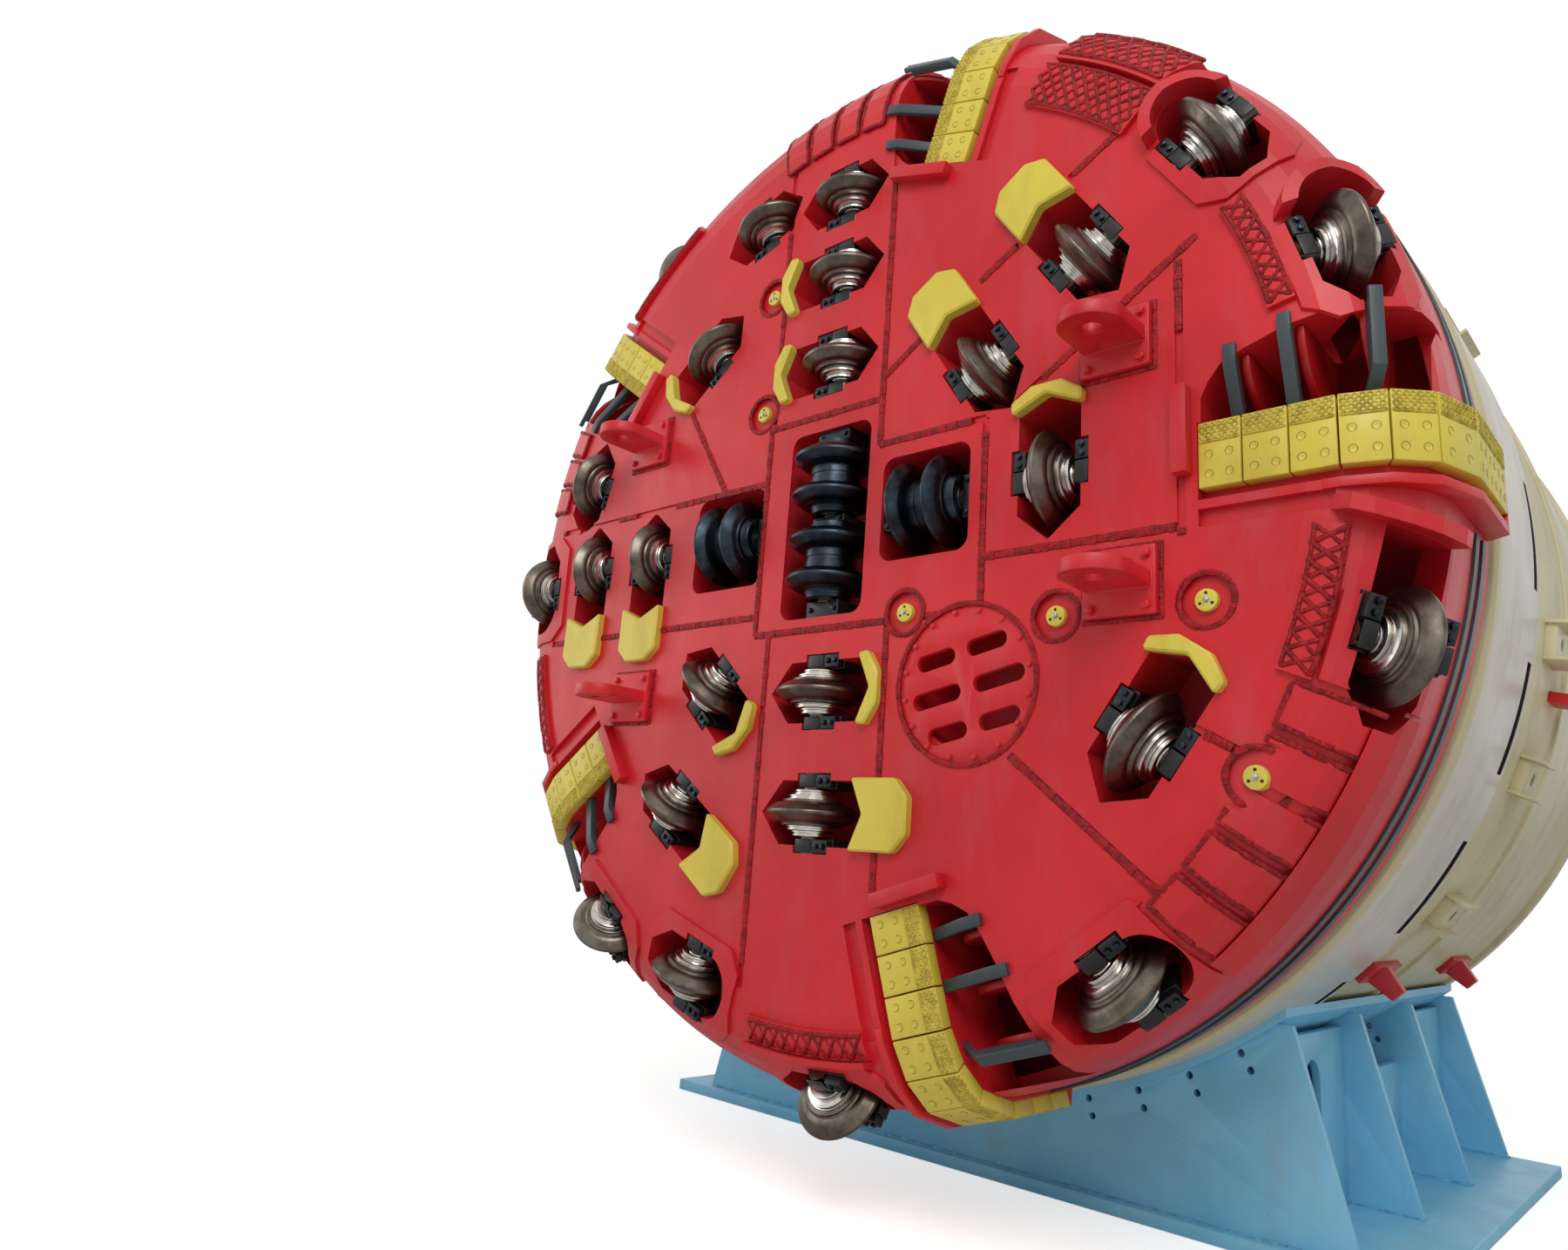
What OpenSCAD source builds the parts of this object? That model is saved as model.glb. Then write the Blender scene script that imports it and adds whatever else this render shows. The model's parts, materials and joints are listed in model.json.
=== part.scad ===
/* [Cutterhead body] */
// Outer radius of the head at its gauge rim
head_r = 2640; // [2560:10:2650]
// Radius of the rounded corner between the face and the rim
corner_r = 380; // [360:10:400]
// Depth of the head from the face to the rear of the rim
head_depth = 914; // [880:2:960]
// Thickness of the front block that the cutter pockets are cut into
block_depth = 440; // [420:10:470]
// Thickness of the rim behind the front block
rim_wall = 70; // [50:5:90]
// Thickness of the head's rear plate
back_plate = 70; // [50:5:90]
// Radius of the solid core on the axis
core_r = 520; // [480:10:560]
// Width of the weld seams between the face segments
seam_w = 34; // [24:2:40]
// Depth of the weld seams
seam_d = 12; // [8:1:16]

/* [Disc cutters] */
// Diameter of a cutter ring, 17 inches
disc_d = 432; // [424:2:440]
// Depth of a cutter's axis behind the face
axis_depth = 60; // [50:2:70]
// Half of the width of a single cutter's hub
hub_half = 105; // [98:1:110]
// Radius of the fixed shaft of a single cutter
shaft_r = 50; // [40:1:56]
// Radial clearance between a hub and its shaft
run_gap = 0.1; // [0.06:0.01:0.1]
// Distance between the two rings of a twin cutter
twin_pitch = 200; // [190:2:210]
// Half of the length of a twin cutter
twin_half = 190; // [180:1:194]
// Depth of the cutter pockets
pocket_depth = 400; // [370:5:410]
// Half of the width of a face pocket
pocket_half = 147; // [142:1:152]
// How far the saddle notches reach from the middle of a pocket
notch_reach = 181; // [172:1:190]
// Half of the radial width of a gauge pocket
gauge_half = 150; // [145:1:156]

/* [Buckets and wear parts] */
// Number of muck buckets round the head
bucket_count = 5; // [5:1:5]
// Radius where a bucket opening starts
bucket_start = 1880; // [1870:5:1900]
// Radius where a bucket opening ends
bucket_end = 2607; // [2590:1:2610]
// Width of a bucket opening along the turn
bucket_w = 390; // [370:5:400]
// How far back from the face a bucket opening reaches
bucket_back = 470; // [460:5:500]
// Height of the lips' cutting edge along the turn
lip_edge = 90; // [80:5:100]
// Height of a lip plate along the turn
lip_h = 260; // [240:5:270]
// Thickness of a lip plate
lip_t = 60; // [50:2:66]
// Gap between two lip plates
lip_gap = 7; // [4:1:10]
// How far the lips stand out from the rim
lip_proud = 72; // [66:2:76]
// Radius of the lips' bend round the corner of the head
lip_bend_r = 372; // [366:2:376]
// Width of a grizzly bar
bar_w = 48; // [40:2:52]
// Thickness of a grizzly bar
bar_t = 45; // [40:1:50]
// How far a grizzly bar's cap stands proud of the face
bar_proud = 25; // [20:1:30]
// Thickness of a bucket fin
fin_t = 30; // [20:1:34]
// How far the cutter guards stand proud of the face
guard_proud = 45; // [35:1:55]
// Depth of the seats that the guards and lugs sit in
seat_d = 20; // [14:1:26]
// How far the corner's wear plates stand proud
plate_proud = 18; // [12:1:24]
// How far the arches round the gauge pockets stand proud
arch_proud = 80; // [60:5:90]
// How far the frames round the gauge pockets stand proud
frame_proud = 16; // [10:1:22]
// How far the ledges at the outer end of the radial plates stand proud
ledge_proud = 28; // [22:1:34]
// Depth of the cutter saddles' top below the face
saddle_top = 45; // [30:5:60]
// Clearance between a fitted piece and its seat
seat_gap = 0.3; // [0.2:0.1:0.4]

/* [Shield and drive] */
// Outer radius of the shield
shield_r = 2660; // [2650:5:2680]
// Thickness of the shield's skin
skin_t = 60; // [50:2:70]
// Gap between the head's rim and the shield
head_gap = 70; // [60:2:80]
// Length of the smooth front shield
front_len = 866; // [840:2:900]
// Length of the rear shield ring
rear_len = 2520; // [2400:10:2560]
// Depth of the step from the front shield down to the rear ring
step_d = 25; // [15:1:30]
// Outer radius of the head's drum
drum_r = 1150; // [1100:10:1200]
// Outer radius of the drive housing
drive_r = 1850; // [1800:10:1900]
// Number of long slots round the end of the front shield
slot_count = 20; // [16:1:20]
// Number of drive motors
motor_count = 8; // [6:1:10]
// Radius of the circle that the motors stand on
motor_pitch_r = 1500; // [1480:5:1520]
// Radius of a drive motor
motor_r = 240; // [220:5:260]

/* [Cradle] */
// Height of the machine axis above the floor
axis_h = 3090; // [3060:5:3120]
// Length of the cradle's base plate
base_len = 3050; // [2950:10:3150]
// Width of the base plate
base_w = 4300; // [4200:10:4400]
// Thickness of the base plate
base_t = 60; // [40:5:80]
// Width of a cradle web at its foot
web_w = 3800; // [3740:10:3900]
// Thickness of a cradle web
web_t = 40; // [30:2:50]
// Distance from the face to the cradle's front edge
cradle_start = 1350; // [1340:5:1400]

/* [Hidden] */
far = 6000;
face_y = -(cradle_start + base_len / 2);
disc_r = disc_d / 2;
flat_r = head_r - corner_r;
lip_flat_r = head_r + lip_proud - lip_bend_r;
gap_y = head_depth + head_gap;
front_end = gap_y + front_len;
rear_end = front_end + rear_len;
drum_len = front_end + 44 - head_depth;
corner_steps = [0, 15, 30, 45, 60, 75, 90];
bucket_turn = 360 / bucket_count;

// Single cutters: name, angle from +X, radius and depth of the place, tilt, kind
// (0 plain, 1 slim guard, 2 block guard, 3 gauge, 4 gauge with an arch, 5 gauge with a visor)
CUTTERS = [
    ["a", 90, 1848, 0, 0, 0], ["b", 90, 1384, 0, 0, 1], ["c", 90, 870, 0, 0, 1],
    ["d", 107.7, 1975, 0, 0, 0], ["e", 128.7, 1516, 0, 0, 1], ["f", 128.5, 2597, 214, 62, 3],
    ["g", 164, 2044, 0, 0, 0], ["h", 182, 2355, 0, 8, 3], ["i", 180, 1860, 0, 0, 2],
    ["j", 180, 1327, 0, 0, 2], ["k", 0, 1235, 0, 0, 1], ["l", 33, 1072, 0, 0, 2],
    ["m", 35.3, 1703, 0, 0, 2], ["n", 34.9, 2361, 14, 10, 4], ["o", 17.2, 2510, 101, 41.5, 4],
    ["p", -17.6, 2613, 173, 54.5, 5], ["q", -34.2, 1965, 0, 0, 1], ["r", -52.7, 2501, 93, 39.6, 3],
    ["s", -90, 841, 0, 0, 1], ["t", -90, 1402, 0, 0, 2], ["u", -133.4, 1068, 0, 0, 1],
    ["v", -124.5, 1676, 0, 0, 2], ["w", -107.7, 2293, 0, 4, 3], ["x", -125.5, 2480, 48, 30, 3],
    ["y", -87, 2631, 180, 55.8, 3]
];
c_name = 0;
c_ang = 1;
c_rad = 2;
c_depth = 3;
c_tilt = 4;
c_kind = 5;

// Twin cutters: name, place along X, place along Z, 1 where the axis is upright
TWINS = [["top", 0, 235, 1], ["bottom", 0, -195, 1], ["left", -686, 0, 0], ["right", 597, 0, 0]];

// Windows of the centre block: X, Z, width, height
WINDOWS = [[0, 10, 519, 973], [-686, 0, 515, 526], [597, 0, 490, 508]];

// Regions of the four outer segments, as corner points in X and Z
SEG_NE = [[319, far], [319, 581], [918, 581], [918, 340], [1800, 340], [1800, -330], [far, -330], [far, far]];
SEG_SE = [[421, -far], [421, -537], [918, -537], [918, -305], [1800, -305], [1800, -330],
    [far, -330], [far, -far]];
SEG_NW = [[-410, far], [-410, 581], [-425, 581], [-425, 280], [-far, 280], [-far, far]];
SEG_SW = [[-327, -far], [-327, -537], [-425, -537], [-425, -439], [-far, -439], [-far, -far]];

// Region of the centre piece: the block with its arms up, down, left and right
SEG_CENTRE = [[-410, far], [-410, 581], [-425, 581], [-425, 280], [-far, 280], [-far, -439], [-425, -439],
    [-425, -537], [-327, -537], [-327, -far], [421, -far], [421, -537], [918, -537], [918, -305],
    [1800, -305], [1800, 340], [918, 340], [918, 581], [319, 581], [319, far]];

// Weld seams on the face: start X, start Z, end X, end Z
SEAMS = [
    [-410, 581, -410, 2200], [319, 340, 319, 2200], [-425, 581, 319, 581], [319, 340, 918, 340],
    [-425, -537, -425, 581], [918, -537, 918, 340], [-425, -537, 918, -537],
    [-2230, 280, -425, 280], [-2200, -439, -425, -439], [-327, -2200, -327, -537], [421, -1750, 421, -537],
    [918, -305, 1790, -305], [1800, -340, 1800, 800], [1080, 380, 1870, 890],
    [-740, 280, -1160, 930], [320, 690, 540, 840], [860, 1030, 1060, 1150], [1310, 1390, 1600, 1550],
    [1080, -1150, 1700, -1640], [1640, -960, 2000, -1150]
];

// Nozzle seats: X, Z
NOZZLES = [[-501, 1387], [-501, 690], [519, -508], [1278, -599], [1888, -599], [2044, -1234]];

// Lifting lugs: X, Z
LUGS = [[-1425, 705], [-1343, -810], [1543, 515], [1561, -501]];
lug_base_w = 300;
lug_base_h = 270;

// Boundaries of the lip plates, as lengths along the lips' profile from where it starts to bend
LIP_STEPS = [-476, -311, -146, 19, 184, 349, 585, 735, 885, 1035];
LIP_STOPS = [for (s = LIP_STEPS) lip_flat_r + s];
lip_count = len(LIP_STOPS) - 1;
band_low = -215;
ridge_low = -250;
groove_low = -320;
groove_d = 30;

// Beam behind the lips: how far in from the bend it starts, how far in from the rim it ends
beam_start = lip_flat_r - 40;
beam_foot = head_r - 140;
beam_top = head_r + 5;
beam_end = head_depth - 44;

// Block at the inner end of a bucket: distances inward from the opening's start, reach along the turn
end_block = [35, 95];
end_block_z = [-110, 245];
end_block_h = 60;

// Far wall of a bucket: distance from the opening's start, share of the opening's width
BUCKET_WALL = [[0, 0.25], [30, 0.42], [80, 0.58], [170, 0.68], [320, 0.8], [570, 0.92], [730, 0.95]];

// Grizzly bars: radius, radius of the fin beside it, 1 where the bar bends only near the lips
BARS = [[2000, 2040, 0], [2200, 2240, 0], [2480, 2440, 1]];

// Fields of radial wear plates on the corner: first angle, number of plates, inner radius
FIELDS = [[-45.3, 5, 2358], [84.2, 4, 2190], [156.2, 3, 2260]];
plate_pitch = 4.7;
plate_turn = 3.7;

plate_end = 2592;
ledge_start = 2600;
ledge_end = 440;
ledge_over = 0.5;

// Frames round the gauge pockets: half width, lower end, upper end, corner cut
frame_half = 232;
frame_low = -330;
frame_high = 340;
frame_cut = 90;
frame_from = 2050;
frame_to = 500;

// Hatched wear plates: first angle, last angle, inner radius, outer radius, height
HATCHED = [
    [-22.2, -9.2, 2293, 2410, 22], [12.6, 26, 2197, 2300, 22], [43.6, 60, 2157, 2376, 22],
    [44, 59, 2400, 2592, 40], [-96.3, -79.7, 2319, 2432, 22], [-96.3, -79.7, 2436, 2462, 60],
    [-167.6, -152.5, 2310, 2400, 22], [120, 137, 2395, 2455, 30]
];

// Width of the arches and the visor over the gauge pockets, and the middle of their curve
arch_w = 55;
arch_z = 130;
visor_z = 390;
visor_over = 160;
arch_from = 2100;
arch_to = 420;

// Outline of the head's face, corner and rim, at a height above the surface
function head_chain(h) = concat([[0, -h]],
    [for (a = corner_steps) [flat_r + (corner_r + h) * sin(a), corner_r - (corner_r + h) * cos(a)]]);

// The same outline from one radius to another, then back to a depth on the rim if one is given
function skin_chain(r0, r1, h, rim_y = 0) = concat(
    [[r0, lookup(r0, head_chain(h))]],
    [for (p = head_chain(h)) if (p[0] > r0 + 1 && p[0] < (rim_y ? far : r1 - 1)) p],
    [rim_y ? [head_r + h, rim_y] : [r1, lookup(r1, head_chain(h))]]);

function reversed(list) = [for (i = [len(list) - 1 : -1 : 0]) list[i]];

// Place on the lips' profile at a length measured from the axis: radius, depth
function lip_place(s) =
    let (bend = (s - lip_flat_r) / lip_bend_r * 180 / PI)
    bend <= 0 ? [s, 0]
    : bend < 90 ? [lip_flat_r + lip_bend_r * sin(bend), lip_bend_r * (1 - cos(bend))]
    : [lip_flat_r + lip_bend_r, s - lip_flat_r - lip_bend_r * (PI / 2 - 1)];

// Tilt of a lip plate, and of the joint at its start
function lip_tilt(k) =
    let (a = lip_place(LIP_STOPS[k]), b = lip_place(LIP_STOPS[k + 1]))
    atan2(b[1] - a[1], b[0] - a[0]);
function joint_tilt(k) = (lip_tilt(max(k - 1, 0)) + lip_tilt(min(k, lip_count - 1))) / 2;

// Place at a joint of the lips at a depth below their outer surface
function lip_corner(k, d) =
    let (m = joint_tilt(k), spread = lip_tilt(min(k, lip_count - 1)) - m)
    lip_place(LIP_STOPS[k]) + d / cos(spread) * [-sin(m), cos(m)];

// Height of a bucket's far wall at a radius
function wall_z(r) = lip_edge + bucket_w * lookup(r - bucket_start, BUCKET_WALL);

module head_frame() { translate([0, face_y, axis_h]) children(); }

// Local axes: X outward from the axis, Y into the head, Z along the turn
module on_head(ang, r, y, tilt) {
    head_frame() rotate([0, -ang, 0]) translate([r, y, 0]) rotate([0, 0, tilt]) children();
}

module on_cutter(c) { on_head(c[c_ang], c[c_rad], c[c_depth], c[c_tilt]) children(); }

module each_bucket() {
    for (i = [0 : bucket_count - 1]) head_frame() rotate([0, -bucket_turn * i, 0]) children();
}

// Extrudes a drawing in X and Z from y0 to y1
module slab(y0, y1) { rotate([90, 0, 0]) translate([0, 0, -y1]) linear_extrude(y1 - y0) children(); }

// Turns a profile of radius and depth round the machine axis
module revolve(fn = 360) { rotate([-90, 0, 0]) rotate_extrude($fn = fn) children(); }

// Turns a profile through a part of the circle, from angle a0 to angle a1
module revolve_part(a0, a1) {
    rotate([0, -a1, 0]) rotate([-90, 0, 0]) rotate_extrude(angle = a1 - a0, $fn = 360) children();
}

// Extrudes a drawing in radius and depth along the turn
module along_turn(z0, z1) { translate([0, 0, z0]) linear_extrude(z1 - z0) children(); }

module box3(x0, x1, y0, y1, z0, z1) { translate([x0, y0, z0]) cube([x1 - x0, y1 - y0, z1 - z0]); }

module round_rect(w, h, r) {
    square([w - 2 * r, h], center = true);
    square([w, h - 2 * r], center = true);
    for (i = [-1, 1], j = [-1, 1]) translate([i * (w / 2 - r), j * (h / 2 - r)]) circle(r, $fn = 32);
}

module slot_shape(len, w) {
    square([len - w, w], center = true);
    for (i = [-1, 1]) translate([i * (len - w) / 2, 0]) circle(d = w, $fn = 32);
}

module head_blank() {
    revolve() difference() {
        polygon(concat(head_chain(0), [[head_r, head_depth], [0, head_depth]]));
        translate([core_r, block_depth])
            square([head_r - rim_wall - core_r, head_depth - back_plate - block_depth]);
    }
}

// Lower tip and lower corners of a face pocket, upper corners and tip with a guard and without one
pocket_low = -272;
pocket_side = -149;
pocket_lead = [300, 211];
pocket_tip = [366, 330];

// Notches for the saddles: middle and length along the turn
notch_z = 45;
notch_len = 204;

module notch_shape(room = 0) {
    translate([0, notch_z]) square([2 * (notch_reach + room), notch_len + 2 * room], center = true);
}

// Opening of a face pocket, long along the turn
module pocket_shape(guarded) {
    lead = pocket_lead[guarded ? 0 : 1];
    tip = pocket_tip[guarded ? 0 : 1];
    polygon([[0, pocket_low], [pocket_half, pocket_side], [pocket_half, lead], [0, tip],
        [-pocket_half, lead], [-pocket_half, pocket_side]]);
    notch_shape();
}

// Lower end of a gauge pocket: half width, place along the turn, where it is full width
gauge_tip = 60;
gauge_low = -290;
gauge_side = -170;

// Opening of a gauge pocket: narrow at its lower end, round or long at its upper end
module gauge_shape(kind) {
    polygon([[-gauge_tip, gauge_low], [gauge_tip, gauge_low], [gauge_half, gauge_side], [gauge_half, arch_z],
        [-gauge_half, arch_z], [-gauge_half, gauge_side]]);
    translate([0, arch_z]) circle(gauge_half, $fn = 64);
    if (kind == 5) translate([-gauge_half, 0]) square([2 * gauge_half, visor_z]);
    notch_shape();
}

module frame_shape(kind) {
    top = kind == 3 ? frame_high : arch_z;
    side = kind == 3 ? frame_high - frame_cut : arch_z;
    difference() {
        polygon([[-frame_half, frame_low + frame_cut], [-frame_half + frame_cut, frame_low],
            [frame_half - frame_cut, frame_low], [frame_half, frame_low + frame_cut],
            [frame_half, side], [frame_half - frame_cut, top],
            [-frame_half + frame_cut, top], [-frame_half, side]]);
        gauge_shape(kind);
        notch_shape(2);
    }
}

module arch_shape(kind) {
    if (kind == 4) intersection() {
        difference() {
            translate([0, arch_z]) circle(gauge_half + arch_w, $fn = 64);
            translate([0, arch_z]) circle(gauge_half + 2, $fn = 64);
        }
        translate([-300, arch_z + 40]) square(600);
    }
    if (kind == 5) translate([-gauge_half - visor_over, visor_z + 2])
        square([2 * gauge_half + visor_over, arch_w]);
}

module cutter_cuts() {
    for (c = CUTTERS) on_cutter(c) slab(-300, pocket_depth) {
        if (c[c_kind] >= 3) gauge_shape(c[c_kind]);
        else pocket_shape(c[c_kind] > 0);
    }
    head_frame() for (w = WINDOWS) translate([w[0], 0, w[1]])
        slab(-50, pocket_depth) round_rect(w[2], w[3], 65);
}

module bucket_cuts() {
    each_bucket() slab(-300, bucket_back) polygon(concat(
        [[bucket_start, lip_edge]],
        [for (w = BUCKET_WALL) let (r = bucket_start + w[0]) if (r < bucket_end) [r, wall_z(r)]],
        [[bucket_end, wall_z(bucket_end)], [bucket_end, lip_edge]]));
}

// Seat of the lips with the dark band below them
module lip_seat() {
    along_turn(band_low, lip_edge + 4) polygon(concat(
        [for (k = [0 : lip_count]) lip_corner(k, -lip_t)],
        [for (k = [lip_count : -1 : 0]) lip_corner(k, lip_t + seat_gap)]));
}

module lip_seats() {
    each_bucket() {
        lip_seat();
        box3(LIP_STOPS[0], lip_flat_r, -50, groove_d, groove_low, ridge_low);
    }
}

module seam_cuts() {
    head_frame() for (s = SEAMS) {
        len = norm([s[2] - s[0], s[3] - s[1]]);
        translate([s[0], 0, s[1]]) rotate([0, -atan2(s[3] - s[1], s[2] - s[0]), 0])
            box3(0, len, -50, seam_d, -seam_w / 2, seam_w / 2);
    }
}

module guard_solid(kind) {
    if (kind == 1) slab(-guard_proud, seat_d)
        polygon([[0, 366], [pocket_half, 300], [pocket_half + 16, 300], [pocket_half + 22, 350], [70, 412],
            [-70, 412], [-pocket_half - 22, 350], [-pocket_half - 16, 300], [-pocket_half, 300]]);
    if (kind == 2) slab(-guard_proud, seat_d)
        polygon([[0, 366], [pocket_half, 300], [158, 300], [158, 540], [80, 610],
            [-80, 610], [-158, 540], [-158, 300], [-pocket_half, 300]]);
}

module guard_solids() {
    for (c = CUTTERS) if (c[c_kind] == 1 || c[c_kind] == 2) on_cutter(c) guard_solid(c[c_kind]);
}

module nozzle_seats(r = 110) {
    head_frame() for (n = NOZZLES) translate([n[0], 0, n[1]]) rotate([-90, 0, 0]) {
        translate([0, 0, -50]) cylinder(r = r, h = 50 + seat_d, $fn = 48);
        cylinder(r = 43, h = 60, $fn = 48);
    }
}

module lug_base(y0) { box3(-lug_base_w / 2, lug_base_w / 2, y0, seat_d, -lug_base_h / 2, lug_base_h / 2); }

module lug_base_seats() { head_frame() for (l = LUGS) translate([l[0], 0, l[1]]) lug_base(-50); }

module manhole_seat() {
    head_frame() translate([cover_x, 0, cover_z]) rotate([-90, 0, 0]) {
        translate([0, 0, -50]) cylinder(r = cover_r, h = 50 + cover_seat_d, $fn = 72);
        cylinder(r = cover_r - 65, h = pocket_depth - 60, $fn = 72);
    }
}

// The deep openings come first, then the seats on the face, then the weld seams
module head_piece(region) {
    difference() {
        difference() {
            difference() {
                intersection() {
                    head_frame() head_blank();
                    head_frame() slab(-20, head_depth + 20) polygon(region);
                }
                cutter_cuts();
                bucket_cuts();
            }
            lip_seats();
            guard_solids();
            nozzle_seats();
            lug_base_seats();
            manhole_seat();
        }
        seam_cuts();
    }
}

module head_centre() { color("firebrick") head_piece(SEG_CENTRE); }
module head_segment_ne() { color("crimson") head_piece(SEG_NE); }
module head_segment_nw() { color("crimson") head_piece(SEG_NW); }
module head_segment_sw() { color("crimson") head_piece(SEG_SW); }
module head_segment_se() { color("crimson") head_piece(SEG_SE); }

module head_drum() {
    color("darkred") head_frame() translate([0, head_depth, 0]) rotate([-90, 0, 0]) difference() {
        union() {
            cylinder(r = drum_r, h = drum_len, $fn = 72);
            cylinder(r = drum_r + 150, h = 80, $fn = 72);
        }
        translate([0, 0, -1]) cylinder(r = drum_r - 300, h = drum_len + 2, $fn = 72);
    }
}

module bucket_lips() {
    color("khaki") each_bucket() for (k = [0 : lip_count - 1]) {
        shift = lip_gap / 2 * [cos(lip_tilt(k)), sin(lip_tilt(k))];
        along_turn(lip_edge - lip_h, lip_edge) polygon([
            lip_corner(k, 0) + shift, lip_corner(k + 1, 0) - shift,
            lip_corner(k + 1, lip_t) - shift, lip_corner(k, lip_t) + shift]);
    }
}

// Ridge and floor that carry the lips round the corner, and the block at their inner end
module bucket_beams() {
    color("darkred") {
        difference() {
            each_bucket() along_turn(ridge_low, lip_edge + 2) polygon(concat(
                [[beam_start, 0]], [for (k = [3 : lip_count]) lip_corner(k, 0)],
                [[beam_top, beam_end], [beam_foot, beam_end], [beam_start, block_depth - 40]]));
            head_frame() revolve()
                polygon(concat(head_chain(seat_gap), [[head_r + seat_gap, head_depth], [0, head_depth]]));
            each_bucket() lip_seat();
        }
        each_bucket() box3(bucket_start - end_block[1], bucket_start - end_block[0],
            -end_block_h, -seat_gap, end_block_z[0], end_block_z[1]);
    }
}

// Front of a fin below the face, its round edge, its rear end and its distance from the lips
fin_front = 34;
fin_curve = 300;
fin_back = block_depth - 10;
fin_low = lip_edge + 40;

// Fins hang on the far wall of a bucket, with a round front edge
module bucket_fins() {
    color("darkred") each_bucket() for (b = BARS) {
        top = wall_z(b[1] - fin_t / 2) - seat_gap;
        front = fin_front + lookup(b[1], head_chain(0));
        translate([b[1] - fin_t / 2, 0, 0]) rotate([90, 0, 90]) linear_extrude(fin_t) polygon(concat(
            [for (t = [0 : 15 : 90]) [front + fin_curve * (1 - cos(t)), top - (top - fin_low) * sin(t)]],
            [[fin_back, fin_low], [fin_back, top]]));
    }
}

// Length of a bar's cap on the face, height of a late bend above the lips, size of the bend
cap_len = 45;
bend_up = 100;
bend_in = 30;

function bar_tilt(b) = asin(max(0, b[0] - flat_r) / corner_r);

// Room round the bars' caps, kept free of frames
bar_room = 5;

module bar_rooms() {
    for (i = [0 : bucket_count - 1], b = BARS)
        on_head(bucket_turn * i, b[0], lookup(b[0], head_chain(0)), bar_tilt(b))
            box3(-bar_w / 2 - bar_room, bar_w / 2 + bar_room, -2 * bar_proud, bar_t, lip_edge,
                wall_z(b[0]) + cap_len + bar_room);
}

// A bar lies on the face beside the far wall and bends down to the lips
module grizzly_bars() {
    color("dimgray") for (i = [0 : bucket_count - 1], b = BARS) {
        low = wall_z(b[0] - bar_w / 2) - seat_gap;
        cap = wall_z(b[0]) + cap_len;
        bend = b[2] ? lip_edge + bend_up : low - bend_in;
        on_head(bucket_turn * i, b[0], lookup(b[0], head_chain(0)), bar_tilt(b))
            translate([-bar_w / 2, 0, 0]) rotate([90, 0, 90]) linear_extrude(bar_w) polygon([
                [-bar_proud, cap], [-bar_proud, bend], [lip_t, lip_edge + seat_gap],
                [lip_t + bar_t, lip_edge + seat_gap], [bar_t - bar_proud, bend - bend_in / 2],
                [bar_t - bar_proud, low], [-seat_gap, low], [-seat_gap, cap]]);
    }
}

module cutter_guards() { color("khaki") guard_solids(); }

// End saddles of the twin cutters: X from, X to, Z from, Z to, depth
TWIN_SADDLES = [[-100, 100, 432, 496.3, 180], [-100, 100, 2, 38, 400], [-100, 100, -476.3, -392, 180],
    [-943.3, -883, -100, 100, 180], [-489, -428.7, -100, 100, 180], [352.2, 400, -100, 100, 180],
    [794, 841.8, -100, 100, 180]];

module twin_shafts() {
    head_frame() for (t = TWINS) translate([t[1], axis_depth, t[2]]) rotate([0, t[3] ? 0 : 90, 0])
        translate([0, 0, -twin_half - 15]) cylinder(r = shaft_r, h = 2 * twin_half + 30, $fn = 48);
}

module saddle_pair(top) {
    for (side = [-1, 1]) difference() {
        translate([side > 0 ? hub_half + 7 : -notch_reach, 0, 0])
            box3(0, notch_reach - hub_half - 7, top, 180, -57, 147);
        translate([-300, axis_depth, 0]) rotate([0, 90, 0]) cylinder(r = shaft_r, h = 600, $fn = 48);
    }
}

module cutter_saddles() {
    color("black") {
        for (c = CUTTERS) on_cutter(c) saddle_pair(saddle_top);
        difference() {
            head_frame() for (t = TWIN_SADDLES) box3(t[0], t[1], saddle_top - 25, t[4], t[2], t[3]);
            twin_shafts();
        }
    }
}

module cutter_shafts() {
    color("gray") {
        for (c = CUTTERS) on_cutter(c) translate([-notch_reach, axis_depth, 0]) rotate([0, 90, 0])
            cylinder(r = shaft_r, h = 2 * notch_reach, $fn = 48);
        twin_shafts();
    }
}

// Half section of a cutter ring, as drops from its edge and half widths, and at a place along its axis
RING_STEPS = [[66, 44], [46, 42], [16, 20], [2, 9], [0, 4]];
function ring_points(x) = concat(
    [for (p = RING_STEPS) [disc_r - p[0], x - p[1]]],
    [for (p = reversed(RING_STEPS)) [disc_r - p[0], x + p[1]]]);

module cutter_round() {
    translate([0, axis_depth, 0]) rotate([0, 90, 0]) rotate_extrude($fn = 72) children();
}

module single_cutter(c) {
    bore = shaft_r + run_gap;
    color("slategray") on_cutter(c) cutter_round() polygon(concat(
        [[bore, -hub_half], [92, -hub_half], [96, -hub_half + 22], [118, -80], [122, -62], [142, -60]],
        ring_points(0),
        [[142, 60], [122, 62], [118, 80], [96, hub_half - 22], [92, hub_half], [bore, hub_half]]));
}

module twin_cutter(t) {
    bore = shaft_r + run_gap;
    color("darkslategray") head_frame() translate([t[1], 0, t[2]]) rotate([0, t[3] ? -90 : 0, 0])
        cutter_round() polygon(concat(
            [[bore, -twin_half], [110, -twin_half], [118, -twin_half + 30], [142, -twin_pitch / 2 - 48]],
            ring_points(-twin_pitch / 2),
            [[128, -twin_pitch / 2 + 52], [128, twin_pitch / 2 - 52]],
            ring_points(twin_pitch / 2),
            [[142, twin_pitch / 2 + 48], [118, twin_half - 30], [110, twin_half], [bore, twin_half]]));
}

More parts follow.
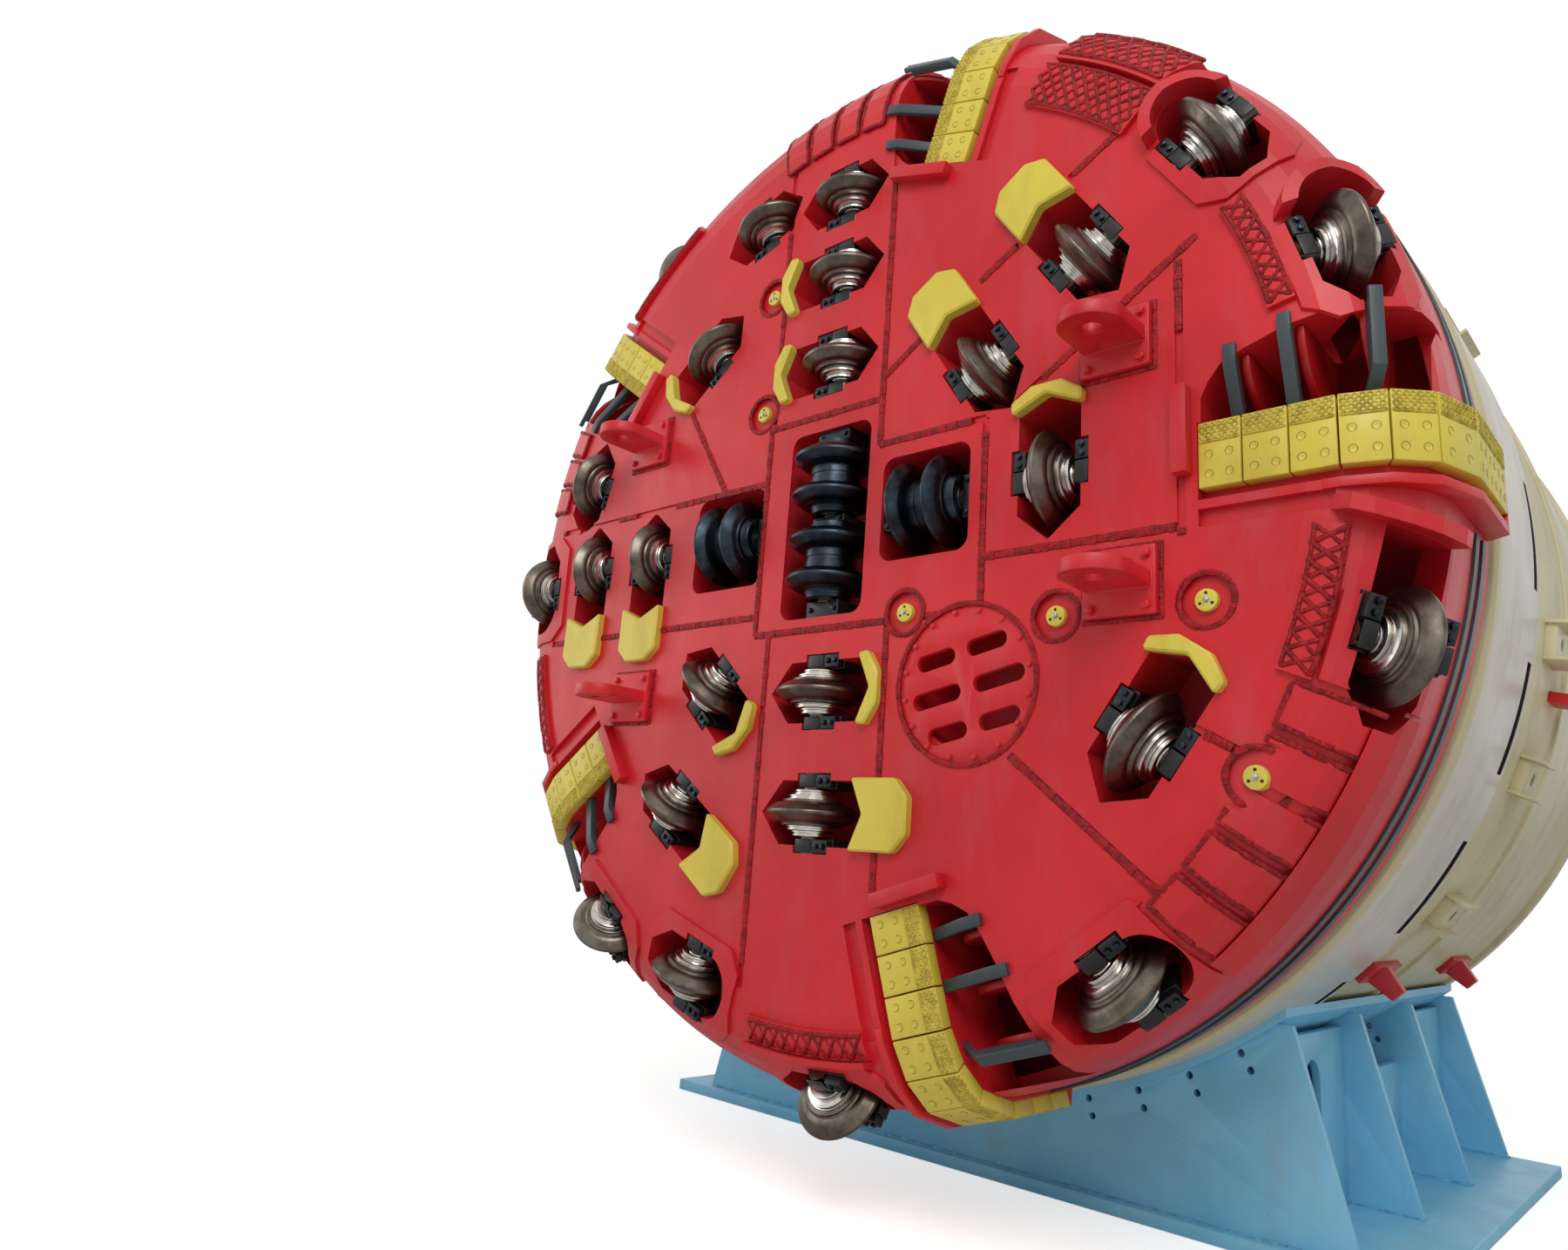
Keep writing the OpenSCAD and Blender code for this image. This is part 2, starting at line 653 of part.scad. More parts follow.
module lifting_lugs() {
    color("firebrick") head_frame() for (l = LUGS) translate([l[0], 0, l[1]]) {
        lug_base(-35);
        difference() {
            translate([0, -35, -30]) linear_extrude(60) union() {
                translate([-135, -190]) square([270, 190]);
                translate([0, -190]) circle(135, $fn = 64);
            }
            translate([0, -225, -40]) cylinder(r = 45, h = 80, $fn = 48);
        }
    }
}

module nozzle_plugs() {
    color("gold") head_frame() for (n = NOZZLES) translate([n[0], 0, n[1]]) rotate([-90, 0, 0])
        translate([0, 0, 8]) cylinder(r = 43, h = 50, $fn = 48);
}

// Slots of the manhole cover: X, Z, length
COVER_SLOTS = [[-156, 109, 200], [98, 165, 200], [-146, -54, 250], [162, 15, 250],
    [-83, -209, 200], [171, -152, 200]];
cover_x = 853;
cover_z = -846;
cover_r = 345;
cover_seat_d = 40;

module manhole_cover() {
    color("firebrick") head_frame() translate([cover_x, 0, cover_z]) difference() {
        rotate([-90, 0, 0]) translate([0, 0, 6])
            cylinder(r = cover_r - seat_gap, h = cover_seat_d - 6, $fn = 72);
        for (s = COVER_SLOTS) translate([s[0], 0, s[1]]) rotate([0, -12.5, 0])
            slab(-10, 60) slot_shape(s[2], 72);
    }
}

// Turns a profile through a field of plates and past its two ends
module field_sector(f, over) {
    revolve_part(f[0] - over, f[0] + plate_pitch * (f[1] - 1) + plate_turn + over) children();
}

// Radial plates on the corner, hatched plates and arches, all lying on the head's surface
module wear_plates() {
    color("crimson") {
        difference() {
            head_frame() {
                for (f = FIELDS, k = [0 : f[1] - 1])
                    revolve_part(f[0] + plate_pitch * k, f[0] + plate_pitch * k + plate_turn)
                        polygon(concat(skin_chain(f[2], plate_end, plate_proud),
                            reversed(skin_chain(f[2], plate_end, seat_gap))));
                for (f = FIELDS) field_sector(f, ledge_over)
                    polygon(concat(skin_chain(ledge_start, 0, ledge_proud, ledge_end),
                        reversed(skin_chain(ledge_start, 0, seat_gap, ledge_end))));
                for (h = HATCHED) revolve_part(h[0], h[1])
                    polygon(concat(skin_chain(h[2], h[3], h[4]), reversed(skin_chain(h[2], h[3], seat_gap))));
            }
            nozzle_seats(128);
            for (c = CUTTERS) if (c[c_kind] > 2) on_cutter(c) slab(-200, 330) gauge_shape(c[c_kind]);
        }
        intersection() {
            head_frame() revolve()
                polygon(concat(skin_chain(arch_from, 0, arch_proud, arch_to),
                    reversed(skin_chain(arch_from, 0, seat_gap, arch_to))));
            for (c = CUTTERS) if (c[c_kind] > 3) on_cutter(c) slab(-200, 250) arch_shape(c[c_kind]);
        }
        difference() {
            intersection() {
                head_frame() revolve()
                    polygon(concat(skin_chain(frame_from, 0, frame_proud, frame_to),
                        reversed(skin_chain(frame_from, 0, seat_gap, frame_to))));
                for (c = CUTTERS) if (c[c_kind] > 2) on_cutter(c) slab(-200, 330) frame_shape(c[c_kind]);
            }
            bar_rooms();
            head_frame() for (f = FIELDS) field_sector(f, ledge_over + 0.4)
                polygon(concat(skin_chain(f[2] - 20, 0, ledge_proud, frame_to + 20),
                    reversed(skin_chain(f[2] - 20, 0, -20, frame_to + 20))));
        }
    }
}

// Bands round the rim between the buckets: depth from, depth to
RIM_BANDS = [[648, 698], [760, 810]];
band_proud = 10;

module rim_bands() {
    color("gray") head_frame() for (i = [0 : bucket_count - 1], b = RIM_BANDS)
        revolve_part(bucket_turn * i + 2.3, bucket_turn * (i + 1) - 6)
            translate([head_r + seat_gap, b[0]]) square([band_proud, b[1] - b[0]]);
}

// Rubber ring between the head and the shield: distances in from the rim, running gap to the head
seal_in = [20, 140];
seal_run = 20;

module seal_ring() {
    color("black") head_frame() revolve() translate([head_r - seal_in[1], head_depth + seal_run])
        square([seal_in[1] - seal_in[0], head_gap - seal_run - seat_gap]);
}

// Long slots round the rear edge of the front shield: first angle, length as an angle, width, depth
slot_first = -23;
slot_turn = 11;
slot_w = 90;
slot_d = 40;
slot_back = 25;
nose = 15;

module shield_front() {
    color("silver") head_frame() difference() {
        revolve() polygon([
            [shield_r - skin_t, gap_y], [shield_r - nose, gap_y], [shield_r, gap_y + nose],
            [shield_r, front_end], [shield_r - skin_t, front_end]]);
        for (i = [0 : slot_count - 1]) rotate([0, -360 / slot_count * i, 0])
            revolve_part(slot_first, slot_first + slot_turn)
                translate([shield_r - slot_d, front_end - slot_back - slot_w]) square([2 * slot_d, slot_w]);
    }
}

// Band on the rear ring: distance behind the front shield, length, height
hoop_at = 900;
hoop_len = 60;
hoop_h = 18;

// Flange at the rear end: length outside, depth inward, thickness
flange_len = 120;
flange_in = 260;
flange_t = 80;

module shield_rear() {
    skin = shield_r - step_d;
    hoop = front_end + hoop_at;
    color("beige") head_frame() revolve() polygon([
        [shield_r - skin_t, front_end], [skin, front_end], [skin, hoop],
        [skin + hoop_h, hoop], [skin + hoop_h, hoop + hoop_len],
        [skin, hoop + hoop_len], [skin, rear_end - flange_len],
        [shield_r, rear_end - flange_len], [shield_r, rear_end], [shield_r - flange_in, rear_end],
        [shield_r - flange_in, rear_end - flange_t], [shield_r - skin_t, rear_end - flange_t]]);
}

// Plate across the front shield, and the drive behind it: bore, length behind the front shield
bulk_t = 100;
bulk_gap = 20;
drive_bore = 600;
drive_len = 900;

module bulkhead() {
    color("beige") head_frame() revolve() translate([drum_r + bulk_gap, front_end - 2 * bulk_t])
        square([shield_r - skin_t - drum_r - bulk_gap, bulk_t]);
}

module drive_housing() {
    color("beige") head_frame() revolve() polygon([
        [drum_r + run_gap, front_end - bulk_t], [drive_r, front_end - bulk_t],
        [drive_r, front_end + drive_len], [drive_bore, front_end + drive_len],
        [drive_bore, front_end + 60], [drum_r + run_gap, front_end + 60]]);
}

motor_foot = 250;
motor_len = 600;

module drive_motors() {
    color("steelblue") head_frame() for (i = [0 : motor_count - 1])
        rotate([0, -360 / motor_count * (i + 0.5), 0])
        translate([motor_pitch_r, front_end + drive_len, 0]) rotate([-90, 0, 0]) {
            cylinder(r = motor_r + 50, h = motor_foot, $fn = 48);
            translate([0, 0, motor_foot]) cylinder(r = motor_r, h = motor_len, $fn = 48);
        }
}

// Brackets on the rear ring: angle, distance behind the front shield
BRACKETS = [[-8, 320], [-22, 320], [-38, 320], [30, 320], [52, 320], [75, 320], [105, 320],
    [128, 320], [150, 320], [188, 320], [202, 320], [218, 320]];
bracket_len = 320;
bracket_h = 95;
bracket_half = 80;
bracket_t = 15;
rung_t = 20;

// Pair of plates along the axis with a drilled plate between them
module ram_brackets() {
    color("beige") for (b = BRACKETS) on_head(b[0], shield_r - step_d, front_end + b[1], 0) {
        for (z = [-bracket_half - bracket_t, bracket_half])
            box3(-1, bracket_h, 0, bracket_len, z, z + bracket_t);
        difference() {
            box3(30, 50, rung_t, bracket_len - rung_t, -bracket_half, bracket_half);
            translate([0, bracket_len / 2, 0]) rotate([0, 90, 0]) cylinder(r = 32, h = 100, $fn = 32);
        }
        for (y = [rung_t, bracket_len - 2 * rung_t])
            box3(seat_gap, 50, y, y + rung_t, -bracket_half, bracket_half);
    }
}

// Lifting lugs of the rear ring: angle, distance behind the front shield
SHIELD_LUGS = [[-13, 700], [60, 700], [120, 700], [193, 700]];
lug_r = 110;
lug_t = 50;
lug_out = 115;

// Gussets with a lug beside the cradle: angle, distance behind the front shield
GUSSETS = [[-47, 150], [227, 150], [-47, 1700], [227, 1700]];
gusset_len = 420;
gusset_half = 60;
gusset_h = 150;

module shield_lugs() {
    color("firebrick") {
        for (l = SHIELD_LUGS) on_head(l[0], shield_r - step_d, front_end + l[1], 0) difference() {
            translate([0, 0, -lug_t / 2]) linear_extrude(lug_t) union() {
                translate([seat_gap, -lug_r]) square([lug_out, 2 * lug_r]);
                translate([lug_out, 0]) circle(lug_r, $fn = 48);
            }
            translate([lug_out, 0, -lug_t]) cylinder(r = 45, h = 2 * lug_t, $fn = 48);
        }
        for (g = GUSSETS) on_head(g[0], shield_r - step_d, front_end + g[1], 0) {
            box3(seat_gap, 30, 0, gusset_len, -gusset_half, gusset_half);
            translate([0, 180, 0]) rotate([90, 0, 0]) translate([0, 0, -30]) linear_extrude(60)
                polygon([[25, -gusset_half], [gusset_h, -35], [gusset_h, 35], [25, gusset_half]]);
        }
    }
}

module cradle_base() {
    color("skyblue") translate([-base_w / 2, -base_len / 2, 0]) cube([base_w, base_len, base_t]);
}

// The cradle follows the shield: half widths and heights as shares of its radius
web_top = axis_h - 0.81165 * shield_r;
web_reach = 0.62556 * shield_r;
side_reach = 0.58647 * shield_r;
saddle_reach = 0.6203 * shield_r;
rest_gap = 30;
side_t = 40;
side_high = web_top - base_t - 71;
side_low = 0.7 * side_high;
web_start = -base_len / 2 + 50;
web_pitch = (base_len - 100 - web_t) / 3;

// Pairs of holes in a web: angles from the vertical, radii
HOLE_ANGLES = [15, 20.6, 26.3, 32];
HOLE_RADII = [shield_r + 56, shield_r + 133];

module web_shape() {
    difference() {
        polygon([[-web_w / 2, base_t], [-web_reach, web_top], [web_reach, web_top], [web_w / 2, base_t]]);
        translate([0, axis_h]) circle(shield_r + rest_gap, $fn = 180);
        for (s = [-1, 1], a = HOLE_ANGLES, r = HOLE_RADII)
            translate([s * r * sin(a), axis_h - r * cos(a)]) circle(17, $fn = 24);
    }
}

module cradle_webs() {
    color("skyblue") for (k = [0 : 3]) translate([0, web_start + web_pitch * k, 0])
        rotate([90, 0, 0]) translate([0, 0, -web_t]) linear_extrude(web_t) web_shape();
}

module cradle_sides() {
    color("skyblue") for (s = [-1, 1], k = [0 : 2]) {
        high = k == 1 ? side_low : side_high;
        translate([s * side_reach - side_t / 2, web_start + web_t + web_pitch * k, base_t]) difference() {
            cube([side_t, web_pitch - web_t, high]);
            translate([-10, (web_pitch - web_t) / 2, high / 2]) rotate([0, 90, 0])
                linear_extrude(side_t + 20) slot_shape(high - 240, 220);
        }
    }
}

module cradle_saddle() {
    color("skyblue") translate([0, 0, axis_h]) intersection() {
        translate([0, -base_len / 2 + 20, 0]) rotate([-90, 0, 0]) difference() {
            cylinder(r = shield_r + rest_gap, h = base_len - 40, $fn = 180);
            translate([0, 0, -1]) cylinder(r = shield_r, h = base_len, $fn = 180);
        }
        translate([-saddle_reach, -base_len, -far]) cube([2 * saddle_reach, 2 * base_len, far]);
    }
}

head_centre();
head_segment_ne();
head_segment_nw();
head_segment_sw();
head_segment_se();
head_drum();
bucket_lips();
bucket_fins();
grizzly_bars();
cutter_guards();
cutter_saddles();
cutter_shafts();
lifting_lugs();
nozzle_plugs();
manhole_cover();
bucket_beams();
wear_plates();
rim_bands();
seal_ring();
shield_front();
shield_rear();
bulkhead();
drive_housing();
drive_motors();
ram_brackets();
shield_lugs();
cradle_base();
cradle_webs();
cradle_sides();
cradle_saddle();
for (c = CUTTERS) single_cutter(c);
for (t = TWINS) twin_cutter(t);
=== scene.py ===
import bpy
import json
import math
import random
from mathutils import Matrix, Vector

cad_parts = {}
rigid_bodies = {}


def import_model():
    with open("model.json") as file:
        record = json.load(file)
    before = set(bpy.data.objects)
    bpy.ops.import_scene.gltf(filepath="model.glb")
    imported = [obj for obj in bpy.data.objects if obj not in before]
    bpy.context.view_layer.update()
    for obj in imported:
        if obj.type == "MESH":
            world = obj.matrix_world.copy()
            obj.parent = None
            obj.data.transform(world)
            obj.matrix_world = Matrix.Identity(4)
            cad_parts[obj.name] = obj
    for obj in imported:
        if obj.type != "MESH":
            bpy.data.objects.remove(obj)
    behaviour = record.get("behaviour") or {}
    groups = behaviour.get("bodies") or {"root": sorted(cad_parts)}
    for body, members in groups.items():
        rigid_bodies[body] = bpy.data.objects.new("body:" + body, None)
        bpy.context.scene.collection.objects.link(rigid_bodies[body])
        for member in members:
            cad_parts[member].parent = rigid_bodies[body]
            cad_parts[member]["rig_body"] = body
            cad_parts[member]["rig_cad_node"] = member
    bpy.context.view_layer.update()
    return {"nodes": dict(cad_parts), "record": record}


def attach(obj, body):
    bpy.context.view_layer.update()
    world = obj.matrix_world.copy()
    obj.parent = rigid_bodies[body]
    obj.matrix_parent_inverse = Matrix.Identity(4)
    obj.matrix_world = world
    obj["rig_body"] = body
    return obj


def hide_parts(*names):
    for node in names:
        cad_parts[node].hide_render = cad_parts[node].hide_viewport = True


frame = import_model()
cadNodes = frame["nodes"]
record = frame["record"]
bodyOf = {n: b for b, names in record["behaviour"]["bodies"].items() for n in names}
slotOf = {s["node"]: s["material_slot"] for s in record["subparts"]}
random.seed(7)

# the head's own axes: X right, Y into the face, Z up, measured from the middle of the face
head = {"faceY": -2.875, "axisZ": 3.09, "radius": 2.64, "corner": 0.38, "axisDepth": 0.06}


def radians(*angles):
    return [math.radians(a) for a in angles]


# eye height 1.48 m, a little to the right, looking up at the face
camera = {"place": (3.373, -6.567, 1.481), "turn": (104.25, -4.04, 41.60), "lens": 24.49,
          "shift": (-0.0208, -0.0227)}
camData = bpy.data.cameras.new("camera")
cam = bpy.data.objects.new("camera", camData)
bpy.context.scene.collection.objects.link(cam)
cam.location = camera["place"]
cam.rotation_euler = radians(*camera["turn"])
camData.lens = camera["lens"]
camData.sensor_width = 36
camData.shift_x, camData.shift_y = camera["shift"]
bpy.context.scene.camera = cam
bpy.context.scene.view_settings.view_transform = "Standard"
print("camera set")


def hexColour(code):
    parts = [int(code[i:i + 2], 16) / 255 for i in (1, 3, 5)]
    return tuple(p / 12.92 if p < 0.04045 else ((p + 0.055) / 1.055) ** 2.4 for p in parts) + (1,)


# adds a node with its settings and links; inputs are given by name or by number
def addNode(mat, kind, settings=None, links=None):
    node = mat.node_tree.nodes.new("ShaderNode" + kind)
    for name, value in (settings or {}).items():
        if not isinstance(name, int) and name not in node.inputs.keys():
            setattr(node, name, value)
    for name, value in (settings or {}).items():
        if isinstance(name, int) or name in node.inputs.keys():
            node.inputs[name].default_value = value
    for name, (source, output) in (links or {}).items():
        mat.node_tree.links.new(source.outputs[output], node.inputs[name])
    return node


def newMaterial(name, **shader):
    mat = bpy.data.materials.new(name)
    mat.use_nodes = True
    bsdf = mat.node_tree.nodes["Principled BSDF"]
    for key, value in shader.items():
        bsdf.inputs[key.replace("_", " ")].default_value = value
    return mat, bsdf


def join(mat, source, output, target, socket):
    mat.node_tree.links.new(source.outputs[output], target.inputs[socket])


def ramp(mat, source, output, stops):
    node = addNode(mat, "ValToRGB", {}, {"Fac": (source, output)})
    while len(node.color_ramp.elements) < len(stops):
        node.color_ramp.elements.new(0.5)
    for element, (place, colour) in zip(node.color_ramp.elements, stops):
        element.position = place
        element.color = colour if isinstance(colour, tuple) else (colour, colour, colour, 1)
    return node


# mixes two colours by a mask: inputs 6 and 7 are the colours, output 2 the result
def blendColours(mat, mask, first, second):
    links = {"Factor": mask}
    settings = {"data_type": "RGBA"}
    for number, colour in ((6, first), (7, second)):
        if isinstance(colour[0], float):
            settings[number] = colour
        else:
            links[number] = colour
    return addNode(mat, "Mix", settings, links)


# satin alkyd enamel sprayed over welded plate: even colour, soft sheen, plates slightly wavy,
# scuffs down to primer in small patches, dust in streaks that run down
def enamel(name, light, dark, dirt, rough=(0.34, 0.5), wave=0.5, dirtShare=0.35, wear="#6E4A3C"):
    mat, bsdf = newMaterial(name, Specular_IOR_Level=0.4)
    place = addNode(mat, "TexCoord")
    at = {"Vector": (place, "Object")}
    cloud = addNode(mat, "TexNoise", {"Scale": 1.3, "Detail": 5.0, "Roughness": 0.55}, at)
    tint = ramp(mat, cloud, "Fac", [(0.32, hexColour(dark)), (0.62, hexColour(light))])
    # dust patches of about 0.25 m, drawn out downwards as rain leaves them
    runs = addNode(mat, "Mapping", {"Scale": (1.0, 1.0, 0.28)}, {"Vector": (place, "Object")})
    stretched = {"Vector": (runs, "Vector")}
    grime = addNode(mat, "TexNoise", {"Scale": 5.0, "Detail": 8.0, "Roughness": 0.68}, stretched)
    grimeMask = ramp(mat, grime, "Fac", [(0.50, 0.0), (0.74, dirtShare)])
    dusty = blendColours(mat, (grimeMask, "Color"), (tint, "Color"), hexColour(dirt))
    # scuffs of 10 to 40 mm
    scuff = addNode(mat, "TexNoise", {"Scale": 26.0, "Detail": 6.0, "Roughness": 0.72}, at)
    scuffMask = ramp(mat, scuff, "Fac", [(0.66, 0.0), (0.72, 0.5)])
    colour = blendColours(mat, (scuffMask, "Color"), (dusty, 2), hexColour(wear))
    join(mat, colour, 2, bsdf, "Base Color")
    span = {"From Min": 0.3, "From Max": 0.7, "To Min": rough[0], "To Max": rough[1]}
    sheen = addNode(mat, "MapRange", span, {"Value": (grime, "Fac")})
    join(mat, sheen, "Result", bsdf, "Roughness")
    # spray orange peel of about 8 mm and plate waviness of about 0.3 m
    peel = addNode(mat, "TexNoise", {"Scale": 120.0, "Detail": 2.0}, at)
    plate = addNode(mat, "TexNoise", {"Scale": 3.0, "Detail": 2.0}, at)
    fine = addNode(mat, "Bump", {"Strength": 0.14, "Distance": 0.002}, {"Height": (peel, "Fac")})
    layers = {"Height": (plate, "Fac"), "Normal": (fine, "Normal")}
    wavy = addNode(mat, "Bump", {"Strength": wave, "Distance": 0.02}, layers)
    join(mat, wavy, "Normal", bsdf, "Normal")
    return mat


# weld metal under the same enamel: ripples of about 10 mm, lumpy over 40 mm
def weldedEnamel(name, light, dark):
    mat, bsdf = newMaterial(name, Roughness=0.55, Specular_IOR_Level=0.3)
    place = addNode(mat, "TexCoord")
    at = {"Vector": (place, "Object")}
    lumps = addNode(mat, "TexNoise", {"Scale": 24.0, "Detail": 5.0, "Roughness": 0.6}, at)
    ripple = addNode(mat, "TexVoronoi", {"Scale": 95.0, "feature": "SMOOTH_F1"}, at)
    tint = ramp(mat, lumps, "Fac", [(0.35, hexColour(dark)), (0.62, hexColour(light))])
    join(mat, tint, "Color", bsdf, "Base Color")
    low = addNode(mat, "Bump", {"Strength": 0.9, "Distance": 0.012}, {"Height": (lumps, "Fac")})
    layers = {"Height": (ripple, "Distance"), "Normal": (low, "Normal")}
    fine = addNode(mat, "Bump", {"Strength": 0.8, "Distance": 0.006}, layers)
    join(mat, fine, "Normal", bsdf, "Normal")
    return mat


headRed = enamel("red enamel on welded plate", "#D1222A", "#BC161E", "#B4525A")
# a darker copy of the red enamel: painted shade for the bucket fins and the head's drum
paintedShadeRed = enamel("red enamel with painted shade", "#AC1519", "#971014", "#6E1418")
weldRed = weldedEnamel("red enamel on weld beads", "#A80F17", "#6C080E")
wearYellow = enamel("yellow enamel on wear steel", "#DCC94F", "#CFBA43", "#A8903A", dirtShare=0.4)
weldYellow = weldedEnamel("yellow enamel on hard facing", "#D6C250", "#A68F35")
barGrey = enamel("dark grey enamel", "#3B474B", "#293236", "#4A4640")
saddleBlack = enamel("black enamel on machined blocks", "#18191C", "#101113", "#2A2622", wear="#3C3936")
shieldCream = enamel("cream enamel on rolled plate", "#D3C8A4", "#C4B88F", "#94825C", wave=0.3)
cradleBlue = enamel("light blue enamel on welded plate", "#8CD0EE", "#74BFE2", "#93AEB6", dirtShare=0.45)
weldBlue = weldedEnamel("blue enamel on weld beads", "#7EC3E4", "#5FA5C8")
sealBlack = enamel("black rubber seal", "#17171A", "#101013", "#2A2724", rough=(0.6, 0.8), wear="#2A2724")


# the front ring is light silver enamel, with a cream lip of 68 mm at its front edge
def ringEnamel(name, silver, shade, cream, lipEnd):
    mat = enamel(name, silver, shade, "#9A8F7C", wave=0.25, dirtShare=0.4, rough=(0.28, 0.42))
    bsdf = mat.node_tree.nodes["Principled BSDF"]
    painted = bsdf.inputs["Base Color"].links[0].from_node
    place = addNode(mat, "TexCoord")
    axes = addNode(mat, "SeparateXYZ", {}, {"Vector": (place, "Object")})
    lip = addNode(mat, "Math", {"operation": "LESS_THAN", 1: lipEnd}, {0: (axes, "Y")})
    colour = blendColours(mat, (lip, "Value"), (painted, 2), hexColour(cream))
    join(mat, colour, 2, bsdf, "Base Color")
    return mat


lipEnd = head["faceY"] + 1.052
shieldSilver = ringEnamel("silver enamel on rolled plate", "#D2CBBB", "#C0B8A8", "#C9BC96", lipEnd)


# forged ring steel turned on a lathe: fine rings round the axis, brown staining
def turnedSteel(name, bright, dull, stain, rough=(0.22, 0.42), pitch=900, stainShare=0.8):
    mat, bsdf = newMaterial(name, Metallic=1.0)
    place = addNode(mat, "TexCoord")
    lathe = addNode(mat, "Mapping", {"Scale": (pitch, 0.0, 1.0)}, {"Vector": (place, "UV")})
    turned, at = {"Vector": (lathe, "Vector")}, {"Vector": (place, "Object")}
    lines = addNode(mat, "TexNoise", {"Scale": 1.0, "Detail": 3.0, "Roughness": 0.6}, turned)
    patch = addNode(mat, "TexNoise", {"Scale": 9.0, "Detail": 7.0, "Roughness": 0.65}, at)
    tint = ramp(mat, lines, "Fac", [(0.3, hexColour(dull)), (0.7, hexColour(bright))])
    stainMask = ramp(mat, patch, "Fac", [(0.40, 0.0), (0.66, stainShare)])
    colour = blendColours(mat, (stainMask, "Color"), (tint, "Color"), hexColour(stain))
    join(mat, colour, 2, bsdf, "Base Color")
    shine = addNode(mat, "MapRange", {"To Min": rough[0], "To Max": rough[1]}, {"Value": (patch, "Fac")})
    join(mat, shine, "Result", bsdf, "Roughness")
    groove = addNode(mat, "Bump", {"Strength": 0.25, "Distance": 0.001}, {"Height": (lines, "Fac")})
    join(mat, groove, "Normal", bsdf, "Normal")
    return mat


ringSteel = turnedSteel("ground cutter ring steel", "#837A70", "#544C44", "#3E3227")
hubSteel = turnedSteel("polished hub steel", "#E2E0DC", "#B7B3AC", "#8A7C66", (0.14, 0.28), stainShare=0.5)
centreSteel = turnedSteel("blued centre cutter steel", "#46505A", "#2C333B", "#15181C", (0.22, 0.38))
boltSteel = turnedSteel("zinc plated bolt", "#C9CBCC", "#9A9C9E", "#6F6A62", (0.25, 0.4), stainShare=0.5)
# a hole or a deep slot painted near black: painted shade for its inside, which lies in shadow, with a little
# noise in its darkness
paintedShadeBlack, shadeShader = newMaterial("painted shade in holes and slots", Roughness=0.85)
shadePlace = addNode(paintedShadeBlack, "TexCoord")
shadeNoise = addNode(paintedShadeBlack, "TexNoise", {"Scale": 30.0, "Detail": 4.0}, {"Vector": (shadePlace, "Object")})
shadeTint = ramp(paintedShadeBlack, shadeNoise, "Fac", [(0.4, hexColour("#0C0B0B")), (0.7, hexColour("#1B1816"))])
join(paintedShadeBlack, shadeTint, "Color", shadeShader, "Base Color")

slotMaterials = {
    "head_red": headRed, "wear_yellow": wearYellow, "bar_grey": barGrey, "saddle_black": saddleBlack,
    "cutter_steel": ringSteel, "centre_steel": centreSteel, "shield_silver": shieldSilver,
    "shield_cream": shieldCream, "cradle_blue": cradleBlue, "hose_black": sealBlack,
}


def paint(obj, *mats):
    obj.data.materials.clear()
    for mat in mats:
        obj.data.materials.append(mat)


for name, obj in cadNodes.items():
    paint(obj, slotMaterials[slotOf[name]])
# the bucket fins and the head's drum take the darker red of painted shade
for name in ("bucket_fins", "head_drum"):
    paint(cadNodes[name], paintedShadeRed)
print("materials made")


def clearSelection():
    if bpy.context.object and bpy.context.object.mode != "OBJECT":
        bpy.ops.object.mode_set(mode="OBJECT")
    bpy.ops.object.select_all(action="DESELECT")


def choose(obj):
    clearSelection()
    obj.select_set(True)
    bpy.context.view_layer.objects.active = obj


def applyModifiers(obj):
    choose(obj)
    for mod in list(obj.modifiers):
        bpy.ops.object.modifier_apply(modifier=mod.name)


def smoothEdges(obj, angle=32):
    choose(obj)
    bpy.ops.object.shade_smooth_by_angle(angle=math.radians(angle))


# selects faces in edit mode by their place or normal
def pickFaces(obj, wanted):
    bpy.ops.object.mode_set(mode="EDIT")
    bpy.ops.mesh.select_mode(type="FACE")
    bpy.ops.mesh.select_all(action="DESELECT")
    bpy.ops.object.mode_set(mode="OBJECT")
    for face in obj.data.polygons:
        face.select = wanted(face)
    bpy.ops.object.mode_set(mode="EDIT")


def bevelAll(obj, width, segments=1, angle=35):
    edge = obj.modifiers.new("edge", "BEVEL")
    edge.width = width
    edge.segments = segments
    edge.limit_method = "ANGLE"
    edge.angle_limit = math.radians(angle)
    applyModifiers(obj)


def placeInMesh(obj):
    choose(obj)
    bpy.ops.object.transform_apply(location=True, rotation=True, scale=True)


def dress(obj, name, body, mat):
    obj.name = name
    obj.data.name = name
    if mat:
        paint(obj, mat)
    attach(obj, body)
    return obj


def joinPieces(pieces, name):
    clearSelection()
    for piece in pieces:
        piece.select_set(True)
    bpy.context.view_layer.objects.active = pieces[0]
    bpy.ops.object.join()
    whole = bpy.context.object
    whole.name = name
    return whole


def copyPiece(obj, place):
    twin = obj.copy()
    twin.data = obj.data.copy()
    bpy.context.scene.collection.objects.link(twin)
    twin.data.transform(place)
    return twin


# copies one pattern to many places, joins the copies and drops the pattern
def repeatPiece(pattern, places, name, body, mat, smooth=40):
    whole = joinPieces([copyPiece(pattern, place) for place in places], name)
    smoothEdges(whole, smooth)
    return dress(whole, name, body, mat)


def dropPiece(obj):
    bpy.data.objects.remove(obj, do_unlink=True)


